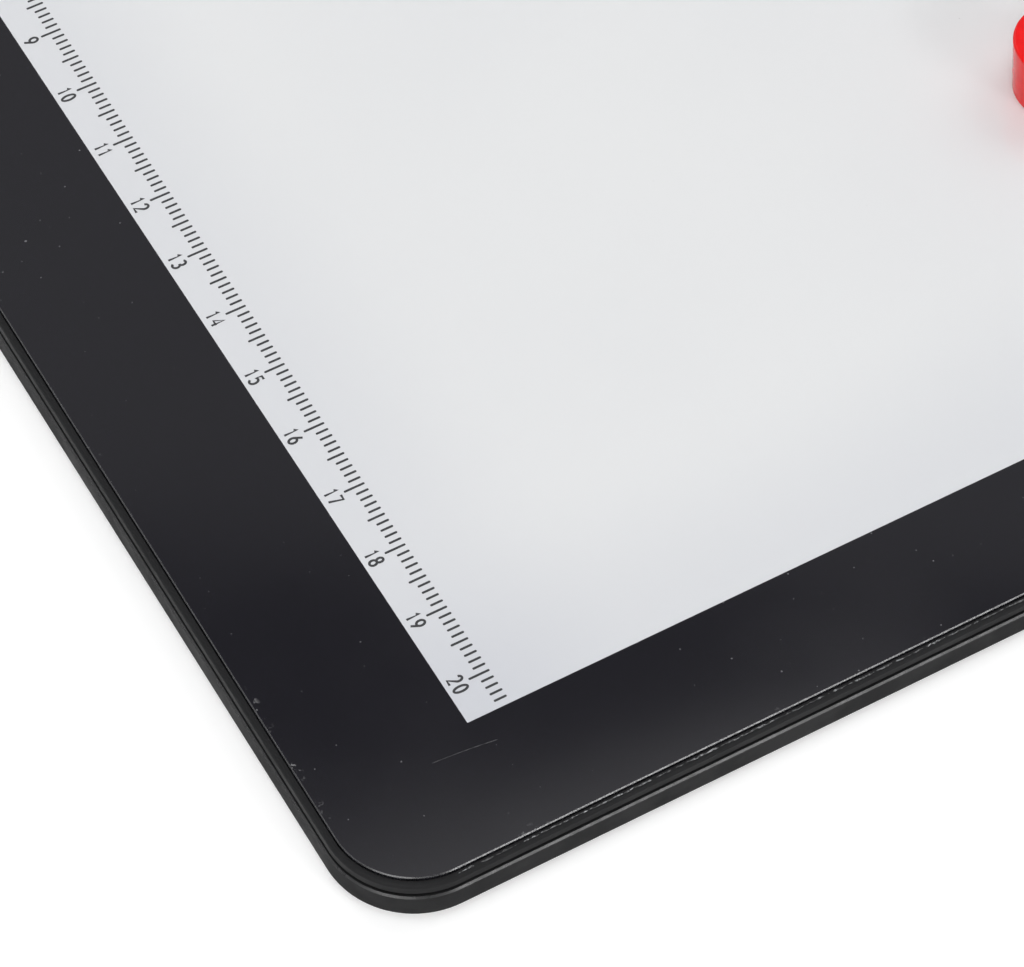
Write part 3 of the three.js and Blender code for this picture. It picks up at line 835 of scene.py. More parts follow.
@dataclass(frozen=True)
class CappedCeramic(Finish):
    """A brown ceramic chip between two tinned ends."""

    middle_x: float = 0.0
    half_body: float = 1.1
    ceramic: Colour = srgb(150, 112, 70)
    tones: Place = (0.8, 1.0)
    tin: Colour = srgb(188, 190, 192)
    grain: float = 0.15
    grain_depth: float = 0.006
    roughness: Place = (0.3, 0.5)

    def fill(self, recipe: Recipe) -> None:
        """Tins both ends, with a fine grain on the body.

        Args:
            recipe: the recipe that is filled.
        """
        x, _, _ = recipe.split(recipe.place)
        tinned = recipe.math("GREATER_THAN", recipe.apart(x, self.middle_x), self.half_body)
        grain = recipe.noise(self.grain, 3)
        recipe.dress(
            base_color=recipe.mix(tinned, recipe.tone(grain, self.ceramic, *self.tones), self.tin),
            metallic=tinned,
            roughness=recipe.spread(grain, *self.roughness),
            normal=recipe.bump(grain, self.grain_depth),
        )


# The bench


class Element(Enum):
    """What a selection in edit mode is made of."""

    VERTEX = "VERT"
    EDGE = "EDGE"
    FACE = "FACE"


class Rounding(Enum):
    """What a bevel rounds."""

    EDGES = "EDGES"
    CORNERS = "VERTICES"


class Join(Enum):
    """What a boolean does with its tool."""

    ADD = "UNION"
    CUT = "DIFFERENCE"


def level(z: float) -> Test:
    """Gives a test for edges or faces that lie at one height."""
    return lambda element: all(abs(corner.co.z - z) < NEAR for corner in element.verts)


def ring(plan: RoundedPlan, z: float, out: float) -> Test:
    """Gives a test for edges at one height and one distance out from a plan.

    Args:
        plan: the plan.
        z: the height.
        out: how far outside the plan.

    Returns:
        The test.
    """
    return lambda edge: all(
        abs(corner.co.z - z) < NEAR and abs(plan.distance(corner.co) - out) < ON_RING
        for corner in edge.verts
    )


def anything(element: Any) -> bool:
    """Passes every element."""
    return True


class Workpiece:
    """One piece on the bench. Its methods are the hand operations that shape it."""

    def __init__(self, name: str) -> None:
        """Takes up the object that was just added.

        Args:
            name: the piece's name.
        """
        self.object = bpy.context.object
        self.object.name = name
        self.object.data.name = name

    @staticmethod
    def clear_selection() -> None:
        """Deselects everything, because the loaded nodes come in selected."""
        bpy.ops.object.select_all(action="DESELECT")

    @staticmethod
    def settle() -> None:
        """Writes the place, turn and scale of what is selected into its mesh."""
        bpy.ops.object.transform_apply(location=True, rotation=True, scale=True)

    @classmethod
    def flat(cls, name: str, plan: RoundedPlan, z: float) -> "Workpiece":
        """Adds a plane of a plan's size, with square corners.

        Args:
            name: the piece's name.
            plan: its size and place.
            z: its height.

        Returns:
            The new piece.
        """
        cls.clear_selection()
        bpy.ops.mesh.primitive_plane_add(size=2, location=(plan.x, plan.y, z))
        bpy.context.object.scale = (plan.half_x, plan.half_y, 1)
        cls.settle()
        return cls(name)

    @classmethod
    def plate(
        cls, name: str, plan: RoundedPlan, low: float, high: float, steps: int = CORNER_STEPS
    ) -> "Workpiece":
        """Makes a slab with round corners.

        Args:
            name: the piece's name.
            plan: its outline.
            low: its underside.
            high: its top.
            steps: the edges in each corner.

        Returns:
            The slab, closed and facing out.
        """
        piece = cls.flat(name, plan, low)
        if plan.radius > 0:
            piece.corners_cut(plan.radius, steps)
        return piece.raised(high - low)

    @classmethod
    def turned(
        cls, name: str, place: Place, profile: Sequence[Place], sides: int = ROUND_SIDES
    ) -> "Workpiece":
        """Raises a round body from a circle, one step of its profile at a time.

        Args:
            name: the piece's name.
            place: its axis, as X and Y.
            profile: radius and height of each step, the lowest first.
            sides: the sides of the circle.

        Returns:
            The body, closed and facing out.
        """
        cls.clear_selection()
        radius, z = profile[0]
        bpy.ops.mesh.primitive_circle_add(
            vertices=sides, radius=radius, fill_type="NGON", location=(*place, z)
        )
        cls.settle()
        piece = cls(name).choose(Element.FACE, anything)
        for next_radius, next_z in profile[1:]:
            piece.draw((0, 0, next_z - z))
            piece.resize(next_radius / radius, next_radius / radius, (*place, next_z))
            radius, z = next_radius, next_z
        return piece.facing_out()

    @classmethod
    def columns(
        cls, name: str, places: Sequence[Place], radius: float, low: float, high: float,
        sides: int = ROUND_SIDES,
    ) -> list["Workpiece"]:
        """Turns the same straight round body, from low to high, at each of several places."""
        return [cls.turned(name, place, [(radius, low), (radius, high)], sides) for place in places]

    @classmethod
    def block(cls, name: str, low: Point, high: Point) -> "Workpiece":
        """Makes a square block between two corners, as a tool or a part of another piece.

        Args:
            name: the piece's name.
            low: its lowest corner.
            high: its highest corner.

        Returns:
            The new piece.
        """
        cls.clear_selection()
        middle = [(start + end) / 2 for start, end in zip(low, high)]
        bpy.ops.mesh.primitive_cube_add(size=1, location=middle)
        bpy.context.object.scale = [end - start for start, end in zip(low, high)]
        cls.settle()
        return cls(name)

    @classmethod
    def gathered(cls, name: str, pieces: Sequence["Workpiece"]) -> "Workpiece":
        """Joins pieces that stand apart into one mesh.

        Args:
            name: the name of the whole.
            pieces: what is joined.

        Returns:
            The whole.
        """
        cls.clear_selection()
        for piece in pieces:
            piece.object.select_set(True)
        bpy.context.view_layer.objects.active = pieces[0].object
        if len(pieces) > 1:
            bpy.ops.object.join()
        cls.settle()
        return cls(name)

    @classmethod
    def from_curve(cls, curve: bpy.types.Curve) -> "Workpiece":
        """Turns a drawn curve into a mesh of the same name.

        Args:
            curve: the curve, which isn't in the scene yet.

        Returns:
            The new piece.
        """
        name = curve.name
        shape = bpy.data.objects.new(name, curve)
        bpy.context.scene.collection.objects.link(shape)
        cls.clear_selection()
        shape.select_set(True)
        bpy.context.view_layer.objects.active = shape
        bpy.ops.object.convert(target="MESH")
        return cls(name)

    def alone(self) -> None:
        """Makes this the only selected piece, and the active one."""
        self.clear_selection()
        self.object.select_set(True)
        bpy.context.view_layer.objects.active = self.object

    @contextmanager
    def opened(self) -> Iterator[bmesh.types.BMesh]:
        """Opens the piece in edit mode and closes it again.

        Returns:
            The mesh, while it is open.
        """
        self.alone()
        bpy.ops.object.mode_set(mode="EDIT")
        try:
            yield bmesh.from_edit_mesh(self.object.data)
        finally:
            bpy.ops.object.mode_set(mode="OBJECT")

    def choose(self, element: Element, test: Test) -> "Workpiece":
        """Selects the vertices, edges or faces that pass a test.

        Args:
            element: what is selected.
            test: what each has to pass.

        Returns:
            The piece, for the operation that follows.
        """
        with self.opened() as mesh:
            bpy.ops.mesh.select_mode(type=element.value)
            bpy.ops.mesh.select_all(action="DESELECT")
            group = {
                Element.VERTEX: mesh.verts, Element.EDGE: mesh.edges, Element.FACE: mesh.faces
            }[element]
            for item in group:
                if test(item):
                    item.select_set(True)
            bmesh.update_edit_mesh(self.object.data)
        return self

    def draw(self, move: Point) -> "Workpiece":
        """Extrudes what is selected.

        Args:
            move: how far, along each axis.

        Returns:
            The piece.
        """
        with self.opened():
            bpy.ops.mesh.extrude_region_move(TRANSFORM_OT_translate={"value": move})
        return self

    def resize(self, share_x: float, share_y: float, middle: Point) -> "Workpiece":
        """Scales what is selected in plan, about a point.

        Args:
            share_x: the factor along X.
            share_y: the factor along Y.
            middle: the point that stays.

        Returns:
            The piece.
        """
        with self.opened():
            bpy.ops.transform.resize(value=(share_x, share_y, 1), center_override=middle)
        return self

    def inset(self, width: float, depth: float = 0.0) -> "Workpiece":
        """Insets the selected faces, and moves them along their normals.

        Args:
            width: how far the faces shrink.
            depth: how far they move out.

        Returns:
            The piece.
        """
        with self.opened():
            bpy.ops.mesh.inset(
                thickness=width, depth=depth, use_boundary=True, use_even_offset=True
            )
        return self

    def bevel(
        self, width: float, steps: int, rounding: Rounding = Rounding.EDGES
    ) -> "Workpiece":
        """Rounds what is selected.

        Args:
            width: the radius.
            steps: the edges in the round.
            rounding: whether edges or the corners of a flat outline are rounded.

        Returns:
            The piece.
        """
        with self.opened():
            bpy.ops.mesh.bevel(
                offset=width, segments=steps, profile=0.5, affect=rounding.value
            )
        return self

    def faces_at(self, z: float) -> "Workpiece":
        """Selects the level faces at one height."""
        return self.choose(Element.FACE, level(z))

    def rounded_at(self, z: float, width: float, steps: int) -> "Workpiece":
        """Rounds or chamfers the edges that lie at one height."""
        return self.choose(Element.EDGE, level(z)).bevel(width, steps)

    def corners_cut(self, width: float, steps: int, test: Test = anything) -> "Workpiece":
        """Rounds or chamfers the corners of a flat outline that pass a test."""
        return self.choose(Element.VERTEX, test).bevel(width, steps, Rounding.CORNERS)

    def halved(self, through: Point, facing: Point) -> "Workpiece":
        """Cuts the selected faces along a plane and keeps both halves.

        Args:
            through: a point of the plane.
            facing: the plane's normal.

        Returns:
            The piece.
        """
        with self.opened():
            bpy.ops.mesh.bisect(plane_co=through, plane_no=facing)
        return self

    def raised(self, height: float) -> "Workpiece":
        """Draws a flat outline up to a closed slab."""
        return self.choose(Element.FACE, anything).draw((0, 0, height)).facing_out()

    def facing_out(self) -> "Workpiece":
        """Merges doubled vertices and turns every face outward.

        Returns:
            The piece.
        """
        with self.opened():
            bpy.ops.mesh.select_all(action="SELECT")
            bpy.ops.mesh.remove_doubles(threshold=DOUBLED)
            bpy.ops.mesh.normals_make_consistent(inside=False)
        return self

    def standing(self) -> "Workpiece":
        """Turns an outline drawn on X and Y up, so that Y becomes Z and Z becomes backward Y.

        Returns:
            The piece.
        """
        self.alone()
        self.object.rotation_euler.x = math.pi / 2
        self.settle()
        return self

    def joined(self, tool: "Workpiece", join: Join) -> "Workpiece":
        """Adds a tool to the piece or cuts it out, and takes the tool away.

        Args:
            tool: the other body or bodies.
            join: whether they are added or cut.

        Returns:
            The piece.
        """
        self.alone()
        modifier = self.object.modifiers.new(join.name, "BOOLEAN")
        modifier.operation = join.value
        modifier.solver = "EXACT"
        modifier.object = tool.object
        bpy.ops.object.modifier_apply(modifier=modifier.name)
        bpy.data.objects.remove(tool.object)
        return self

    def copied(self, name: str, move: Point) -> "Workpiece":
        """Copies the piece, with a mesh of its own, to another place.

        Args:
            name: the copy's name.
            move: how far it is moved.

        Returns:
            The copy.
        """
        self.alone()
        bpy.ops.object.duplicate(linked=False)
        bpy.context.object.location = Vector(move)
        self.settle()
        return Workpiece(name)

    def painted(self, index: int, test: Test) -> "Workpiece":
        """Gives the faces that pass a test the finish at one index.

        Args:
            index: the place of the finish in the list.
            test: what each face has to pass.

        Returns:
            The piece.
        """
        for face in self.object.data.polygons:
            if test(face):
                face.material_index = index
        return self

    def set_down(
        self,
        finishes: Sequence[Finish],
        slot: str,
        stands_for: Sequence[str] = (),
        body: str = "case",
        smooth_degrees: float = 32.0,
    ) -> None:
        """Smooths the piece, scales it to metres and gives it its finish and its body.

        Args:
            finishes: its finishes, in the order of their indices.
            slot: the record's material slot, which is not used.
            stands_for: the nodes that it replaces.
            body: the body that it rides on.
            smooth_degrees: the angle past which an edge stays sharp.
        """
        self.alone()
        self.object.scale = (MM, MM, MM)
        self.settle()
        bpy.ops.object.shade_smooth_by_angle(angle=math.radians(smooth_degrees))
        weights = self.object.modifiers.new("weights", "WEIGHTED_NORMAL")
        weights.keep_sharp = True
        bpy.ops.object.modifier_apply(modifier=weights.name)
        for finish in finishes:
            self.object.data.materials.append(finish.material())
        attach(self.object, body)
        if stands_for:
            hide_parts(*stands_for)
        self.report()

    def report(self) -> None:
        """Logs the piece's name and faces, and any edge that isn't closed."""
        with self.opened() as mesh:
            faces = len(mesh.faces)
            open_edges = sum(1 for edge in mesh.edges if not edge.is_manifold)
        LOG.info("%-24s %6d faces, %d open edges", self.object.name, faces, open_edges)


# Sizes that several pieces share


@dataclass(frozen=True)
class CaseSizes:
    """The case's levels and reaches in millimetres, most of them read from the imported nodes."""

    plan: RoundedPlan
    window: RoundedPlan
    well: RoundedPlan
    panel_low: float
    panel_top: float
    frame_out: float
    frame_top: float
    shell_out: float
    shell_low: float
    shell_top: float
    frame_wall: float = 1.45
    pocket_gap: float = 0.1
    ledge: float = 1.0
    ledge_top: float = 6.3
    floor_top: float = 2.3
    floor_recess: float = 0.4
    pad_top: float = 3.3
    lap_out: float = 0.62
    lip_inner: float = 0.72
    shell_inner: float = -0.33

    @property
    def skirt(self) -> float:
        """Gives the height of the frame's lower outer edge."""
        return self.frame_top - self.frame_wall

    @property
    def ledge_under(self) -> float:
        """Gives the underside of the ledge that carries the panel."""
        return self.ledge_top - self.ledge

    @classmethod
    def from_frame(cls) -> "CaseSizes":
        """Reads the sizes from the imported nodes.

        Returns:
            The sizes.
        """
        panel_low, panel_high = in_millimetres(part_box("front_panel"))
        _, frame_high = in_millimetres(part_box("front_frame"))
        shell_low, shell_high = in_millimetres(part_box("back_shell"))
        return cls(
            plan=RoundedPlan(panel_high.x, panel_high.y, 10.0),
            window=RoundedPlan(105.0, 155.0, 0.0),
            well=RoundedPlan(110.2, 160.2, 2.5),
            panel_low=panel_low.z,
            panel_top=panel_high.z,
            frame_out=frame_high.x - panel_high.x,
            frame_top=frame_high.z,
            shell_out=shell_high.x - panel_high.x,
            shell_low=shell_low.z,
            shell_top=shell_high.z,
        )


def in_millimetres(box: Sequence[Vector]) -> tuple[Vector, Vector]:
    """Gives the lowest and the highest corner of a box in millimetres."""
    low, high = box
    return low / MM, high / MM


def middle_of(node: str) -> Vector:
    """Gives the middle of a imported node, in millimetres."""
    low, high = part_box(node)
    return (low + high) / 2 / MM


def place_of(node: str) -> Place:
    """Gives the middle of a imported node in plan, as X and Y."""
    return middle_of(node).x, middle_of(node).y


def case_screw_places() -> list[Place]:
    """Gives the place of each case screw, as X and Y."""
    return [place_of(name) for name in sorted(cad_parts) if name.startswith("case_screw_")]


# Finishes

SHELL_PLASTIC = MouldedPlastic(
    "matt black shell", srgb(30, 30, 31), 0.6, 0.3, 0.01, 0.1, reflectance=0.08
)
# the lip's chamfer plastic: a copy of the shell's, painted a little lighter and made shinier to
# carry a highlight
SHELL_EDGE_HIGHLIGHT = MouldedPlastic(
    "rubbed shell edge", srgb(34, 34, 35), 0.28, 0.4, 0.006, 0.2, 6.0, 0.05, 0.5
)
FRAME_PLASTIC = MouldedPlastic(
    "matt black frame", srgb(36, 36, 37), 0.5, 0.3, 0.008, 0.1, reflectance=0.07
)
BUTTON_PLASTIC = MouldedPlastic("satin black button", srgb(40, 40, 42), 0.34, 0.2, 0.005, 0.08)
RUBBER = MouldedPlastic("foot rubber", srgb(42, 42, 43), 0.82, 0.22, 0.03, 0.18, 3.0)
GLUE = DriedGlue("seam glue")
TAPE = MouldedPlastic("foam tape", srgb(238, 235, 226), 0.7, 0.25, 0.03, 0.04)
REFLECTOR = MouldedPlastic("white reflector film", srgb(246, 246, 243), 0.45, 0.5, 0.006, 0.02)
DIFFUSER = MouldedPlastic("frosted diffuser film", srgb(230, 231, 234), 0.6, 0.12, 0.006, 0.02)
MASK_INK = MouldedPlastic("border mask ink", srgb(24, 24, 26), 0.35, 0.2, 0.002, 0.06)
CHIP_RESIN = MouldedPlastic("chip resin", srgb(30, 30, 30), 0.55, 0.1, 0.006, 0.1, 2.0)
FERRITE = MouldedPlastic("ferrite", srgb(58, 58, 60), 0.6, 0.12, 0.012, 0.14, 1.5)
INSULATOR = MouldedPlastic("black insulator", srgb(34, 34, 36), 0.45, 0.12, 0.005, 0.08, 2.0)
RED_SLEEVE = MouldedPlastic("red lead sleeve", srgb(176, 30, 26), 0.42, 0.2, 0.005, 0.08, 4.0)
BLACK_SLEEVE = MouldedPlastic("black lead sleeve", srgb(32, 32, 33), 0.42, 0.2, 0.005, 0.08, 4.0)
STEEL = PlatedMetal("rolled steel", srgb(150, 153, 156), 0.36, (40.0, 0.4, 0.4), 0.8)
NICKEL = PlatedMetal("nickel plate", srgb(190, 192, 195), 0.28, (1.0, 6.0, 1.0), 0.3)
BLACK_ZINC = PlatedMetal("black zinc screw", srgb(74, 74, 78), 0.38, (1.0, 1.0, 1.0), 0.35)
GOLD = PlatedMetal("gold contact", srgb(222, 184, 104), 0.24, (1.0, 5.0, 1.0), 0.2)
RED_GLOSS = GlossPlastic("glossy red plastic")
RULER_INK = PrintInk("ruler ink")


# The housing


@dataclass(frozen=True)
class BackShell:
    """The lower moulding: a drafted tray with pads, stands, ribs and the far edge's openings."""

    sizes: CaseSizes
    draft: float = 0.2
    fillet: float = 1.0
    lip_drop: float = 0.3
    lip_chamfer: float = 0.24
    pad_radius: float = 3.2
    hole_radius: float = 1.15
    head_radius: float = 2.05
    head_sink: float = 0.1
    head_height: float = 1.0
    stand_radius: float = 2.1
    stand_hole: float = 0.95
    stand_top: float = 2.9
    foot_clearance: float = 0.2
    rib_thickness: float = 0.8
    rib_height: float = 2.2
    rib_pitch: float = 22.0
    rib_gap: float = 1.4
    rib_root: float = 0.5
    dish: Point = (10.0, 0.55, 2.0)
    dish_sides: int = 96
    inlet_gap: float = 0.3
    inlet_round: float = 0.3
    inlet_steps: int = 4
    button_half: Place = (4.6, 1.3)
    lip_normals: Place = (0.3, 0.9)

    def tray(self) -> Workpiece:
        """Draws the tray from its outline: wall, rounds, lap for the frame and floor.

        Returns:
            The tray, without its pads and openings.
        """
        sizes = self.sizes
        outer = sizes.plan.grown(sizes.shell_out)
        lip_top = sizes.shell_top - self.lip_drop
        tray = Workpiece.plate("back_shell_moulding", outer, sizes.shell_low, lip_top)
        shares = (1 - self.draft / half for half in (outer.half_x, outer.half_y))
        tray.faces_at(sizes.shell_low).resize(*shares, (0, 0, sizes.shell_low))
        tray.rounded_at(sizes.shell_low, self.fillet, FILLET_STEPS)
        tray.rounded_at(lip_top, self.lip_chamfer, CHAMFER_STEPS)
        lip = sizes.shell_out - self.lip_chamfer - sizes.lip_inner
        tray.faces_at(lip_top).inset(lip)
        tray.draw((0, 0, sizes.ledge_under - lip_top))
        tray.inset(sizes.lip_inner - sizes.shell_inner)
        tray.draw((0, 0, sizes.floor_top - sizes.ledge_under))
        return tray.facing_out()

    def ribs(self) -> list[Workpiece]:
        """Stands thin ribs across both side channels, clear of the screw pads.

        Returns:
            The ribs.
        """
        sizes = self.sizes
        near = sizes.well.half_x + self.rib_gap
        far = sizes.plan.half_x + sizes.shell_inner + self.rib_root
        count = int((sizes.well.half_y - self.pad_radius) // self.rib_pitch)
        made = []
        for step in range(-count, count + 1):
            y = step * self.rib_pitch
            clear = self.pad_radius + self.rib_thickness
            if all(abs(place[1] - y) > clear for place in case_screw_places()):
                for side in (-1, 1):
                    left, right = sorted((side * near, side * far))
                    made.append(Workpiece.block(
                        "rib",
                        (left, y - self.rib_thickness / 2, sizes.shell_low + sizes.floor_recess),
                        (right, y + self.rib_thickness / 2, sizes.floor_top + self.rib_height),
                    ))
        return made

    def screw_hole(self, place: Place) -> Workpiece:
        """Turns the tool for one countersunk hole.

        Args:
            place: the screw's place.

        Returns:
            The tool.
        """
        low = self.sizes.shell_low
        return Workpiece.turned("hole", place, [
            (self.head_radius, low - OVERRUN),
            (self.head_radius, low + self.head_sink),
            (self.hole_radius, low + self.head_sink + self.head_height),
            (self.hole_radius, self.sizes.pad_top + OVERRUN),
        ], POST_SIDES)

    def openings(self) -> list[Workpiece]:
        """Makes the tools for the inlet, the button and the hollow for a fingertip round it.

        Returns:
            The tools, to be cut one after the other.
        """
        sizes = self.sizes
        inner = sizes.plan.half_y + sizes.shell_inner - OVERRUN
        outer = sizes.plan.half_y + sizes.shell_out + OVERRUN
        inlet = middle_of("socket_shell")
        low, high = in_millimetres(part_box("socket_shell"))
        button = middle_of("power_button")
        half_x = PowerInlet.half_width + self.inlet_gap
        half_z = (high.z - low.z) / 2 + self.inlet_gap
        inlet_plan = RoundedPlan(half_x, half_z, 0, inlet.x, inlet.z)
        inlet_hole = PowerInlet().outline(
            "inlet_hole", inlet_plan, -outer, self.inlet_round, self.inlet_steps
        ).raised(outer - inner)
        button_hole = PowerButton.rounded("button_hole", self.button_half, button.x, -outer, -inner)
        Workpiece.clear_selection()
        wall = sizes.plan.half_y + sizes.shell_out - self.draft
        bpy.ops.mesh.primitive_uv_sphere_add(
            segments=self.dish_sides, ring_count=self.dish_sides // 2, radius=1,
            location=(button.x, wall, PowerButton.middle_z),
        )
        bpy.context.object.scale = self.dish
        Workpiece.settle()
        dish = Workpiece("dish")
        return [inlet_hole.standing(), button_hole.standing(), dish]

    def on_lip(self, face: bpy.types.MeshPolygon) -> bool:
        """Tells whether a face belongs to the slanted edge of the lip, which is painted lighter and
        made shinier to carry a highlight.

        Args:
            face: a face of the tray.

        Returns:
            Whether it gets the lighter, shinier edge plastic.
        """
        top = self.sizes.shell_top - self.lip_drop
        steepest, flattest = self.lip_normals
        slanted = steepest < face.normal.z < flattest
        return slanted and top - self.lip_chamfer < face.center.z < top

    def build(self) -> None:
        """Makes the moulding and sets it down."""
        sizes = self.sizes
        low = sizes.shell_low + sizes.floor_recess
        stands = [place_of(f"board_screw_{count}") for count in (1, 2)]
        added = Workpiece.columns(
            "pad", case_screw_places(), self.pad_radius, low, sizes.pad_top, FINE_SIDES
        )
        added += Workpiece.columns(
            "stand", stands, self.stand_radius, low, self.stand_top, POST_SIDES
        )
        tray = self.tray()
        tray.joined(Workpiece.gathered("added", added + self.ribs()), Join.ADD)
        holes = [self.screw_hole(place) for place in case_screw_places()]
        over = self.stand_top + OVERRUN
        holes += Workpiece.columns("hole", stands, self.stand_hole, low, over, BORE_SIDES)
        for count in range(1, FOOT_COUNT + 1):
            foot_low, foot_high = in_millimetres(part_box(f"foot_{count}"))
            radius = (foot_high.x - foot_low.x) / 2 + self.foot_clearance
            spot = (foot_low + foot_high) / 2
            under = sizes.shell_low - OVERRUN
            holes += Workpiece.columns("seat", [(spot.x, spot.y)], radius, under, low)
        tray.joined(Workpiece.gathered("holes", holes), Join.CUT)
        for opening in self.openings():
            tray.joined(opening, Join.CUT)
        tray.painted(1, self.on_lip)
        tray.set_down([SHELL_PLASTIC, SHELL_EDGE_HIGHLIGHT], "shell_plastic", ["back_shell"])


@dataclass(frozen=True)
class FrontFrame:
    """The upper moulding: a rim round the panel, a skirt over the shell, the ledge and the well."""

    sizes: CaseSizes
    rim_fillet: float = 0.5
    rim_flat: float = 0.37
    inner_break: float = 0.05
    skirt_break: float = 0.06
    well_wall: float = 1.0
    well_foot: float = 2.6
    well_steps: int = 8
    post_radius: float = 2.3
    pilot_radius: float = 1.15
    pilot_top: float = 5.5

    def rim(self) -> Workpiece:
        """Draws the rim, the pocket for the panel and the skirt from the frame's outline.

        Returns:
            The rim, without its well wall and posts.
        """
        sizes = self.sizes
        outer = sizes.plan.grown(sizes.frame_out)
        rim = Workpiece.plate("front_frame_moulding", outer, sizes.skirt, sizes.frame_top)
        rim.rounded_at(sizes.frame_top, self.rim_fillet, FILLET_STEPS)
        rim.faces_at(sizes.frame_top).inset(self.rim_flat)
        rim.draw((0, 0, sizes.ledge_top - sizes.frame_top))
        rim.choose(Element.EDGE, ring(sizes.plan, sizes.frame_top, sizes.pocket_gap))
        rim.bevel(self.inner_break, BREAK_STEPS)
        rim.faces_at(sizes.skirt).inset(sizes.frame_out - sizes.lap_out)
        rim.draw((0, 0, sizes.ledge_under - sizes.skirt))
        rim.choose(Element.EDGE, ring(sizes.plan, sizes.skirt, sizes.frame_out))
        return rim.bevel(self.skirt_break, BREAK_STEPS).facing_out()

    def build(self) -> None:
        """Adds the well wall and the screw posts, opens the well and sets the moulding down."""
        sizes = self.sizes
        rim = self.rim()
        places = case_screw_places()
        top = sizes.ledge_top
        outline = sizes.well.grown(self.well_wall)
        wall = Workpiece.plate("well_wall", outline, self.well_foot, top, self.well_steps)
        rim.joined(wall, Join.ADD)
        post_top = sizes.ledge_under + sizes.ledge / 2
        posts = Workpiece.columns(
            "post", places, self.post_radius, sizes.pad_top, post_top, POST_SIDES
        )
        rim.joined(Workpiece.gathered("posts", posts), Join.ADD)
        well = Workpiece.plate(
            "well", sizes.well, self.well_foot - OVERRUN, top + OVERRUN, self.well_steps
        )
        rim.joined(well, Join.CUT)
        pilots = Workpiece.columns(
            "pilot", places, self.pilot_radius, sizes.pad_top - OVERRUN, self.pilot_top, BORE_SIDES
        )
        rim.joined(Workpiece.gathered("pilots", pilots), Join.CUT)
        rim.set_down([FRAME_PLASTIC], "frame_plastic", ["front_frame"])


@dataclass(frozen=True)
class Feet:
    """Four round rubber feet in their seats."""

    fillet: float = 0.4
    fillet_steps: int = 6
    sides: int = 72

    def build(self) -> None:
        """Turns the first foot and copies it to the other seats."""
        low, high = in_millimetres(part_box("foot_1"))
        middle = (low + high) / 2
        radius = (high.x - low.x) / 2
        place = (middle.x, middle.y)
        feet = Workpiece.columns("foot_pad_1", [place], radius, low.z, high.z, self.sides)
        foot = feet[0].rounded_at(low.z, self.fillet, self.fillet_steps)
        for count in range(2, FOOT_COUNT + 1):
            feet.append(foot.copied(f"foot_pad_{count}", middle_of(f"foot_{count}") - middle))
        for count, made in enumerate(feet, 1):
            made.set_down([RUBBER], "rubber", [f"foot_{count}"])


@dataclass(frozen=True)
class CaseScrews:
    """Ten countersunk screws with cross recesses, heads down."""

    head_height: float = 1.0
    shank_radius: float = 1.0
    tip_share: float = 0.5
    recess_width: float = 0.5
    recess_span: float = 2.0
    recess_depth: float = 0.55
    recess_floor_share: float = 0.55
    head_break: float = 0.08

    def recess(self, middle: Vector, low: float) -> Workpiece:
        """Makes the cross tool, whose arms narrow upwards.

        Args:
            middle: the screw's middle.
            low: the head's height.

        Returns:
            The tool.
        """
        half = self.recess_width / 2
        reach = self.recess_span / 2
        arms = []
        for half_x, half_y in ((reach, half), (half, reach)):
            arm = Workpiece.block(
                "arm", (middle.x - half_x, middle.y - half_y, low - OVERRUN),
                (middle.x + half_x, middle.y + half_y, low + self.recess_depth),
            )
            arm.faces_at(low + self.recess_depth)
            arm.resize(self.recess_floor_share, self.recess_floor_share, (middle.x, middle.y, low))
            arms.append(arm)
        return arms[0].joined(arms[1], Join.ADD)

    def build(self) -> None:
        """Turns the first screw, cuts its recess and copies it to each place."""
        nodes = [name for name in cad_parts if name.startswith("case_screw_")]
        first = nodes[0]
        low, high = in_millimetres(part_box(first))
        middle = (low + high) / 2
        head_radius = (high.x - low.x) / 2
        screw = Workpiece.turned("screw", (middle.x, middle.y), [
            (head_radius, low.z),
            (self.shank_radius, low.z + self.head_height),
            (self.shank_radius, high.z - self.shank_radius),
            (self.shank_radius * self.tip_share, high.z),
        ], FINE_SIDES)
        screw.rounded_at(low.z, self.head_break, BREAK_STEPS)
        screw.joined(self.recess(middle, low.z), Join.CUT)
        made = [(name, screw.copied(f"{name}_body", middle_of(name) - middle)) for name in nodes]
        bpy.data.objects.remove(screw.object)
        for name, body in made:
            body.set_down([BLACK_ZINC], "nickel", [name])


# The drawing surface


@dataclass(frozen=True)
class DrawingPanel:
    """The front sheet: a glossy face with a black border, round a milky drawing window."""

    sizes: CaseSizes
    edge_break: float = 0.13

    def build(self) -> None:
        """Raises the sheet, rounds its rim and parts its face into border and window."""
        sizes = self.sizes
        window = sizes.window
        top = sizes.panel_top
        sheet = Workpiece.plate("front_panel_sheet", sizes.plan, sizes.panel_low, top)
        for z in (sizes.panel_low, top):
            sheet.rounded_at(z, self.edge_break, CHAMFER_STEPS)
        for sign in (-1, 1):
            sheet.faces_at(top).halved((sign * window.half_x, 0, top), (1, 0, 0))
            sheet.faces_at(top).halved((0, sign * window.half_y, top), (0, 1, 0))
        sheet.painted(2, lambda face: abs(face.normal.z) < LEVEL_NORMAL)
        sheet.painted(
            1, lambda face: face.normal.z > LEVEL_NORMAL and window.distance(face.center) < 0
        )
        finishes = [
            GlossBorder("glossy black border", sizes.plan),
            MilkyWindow("milky drawing window", window),
            CutEdge("trimmed sheet rim"),
        ]
        sheet.set_down(finishes, "border_ink", ["front_panel"])


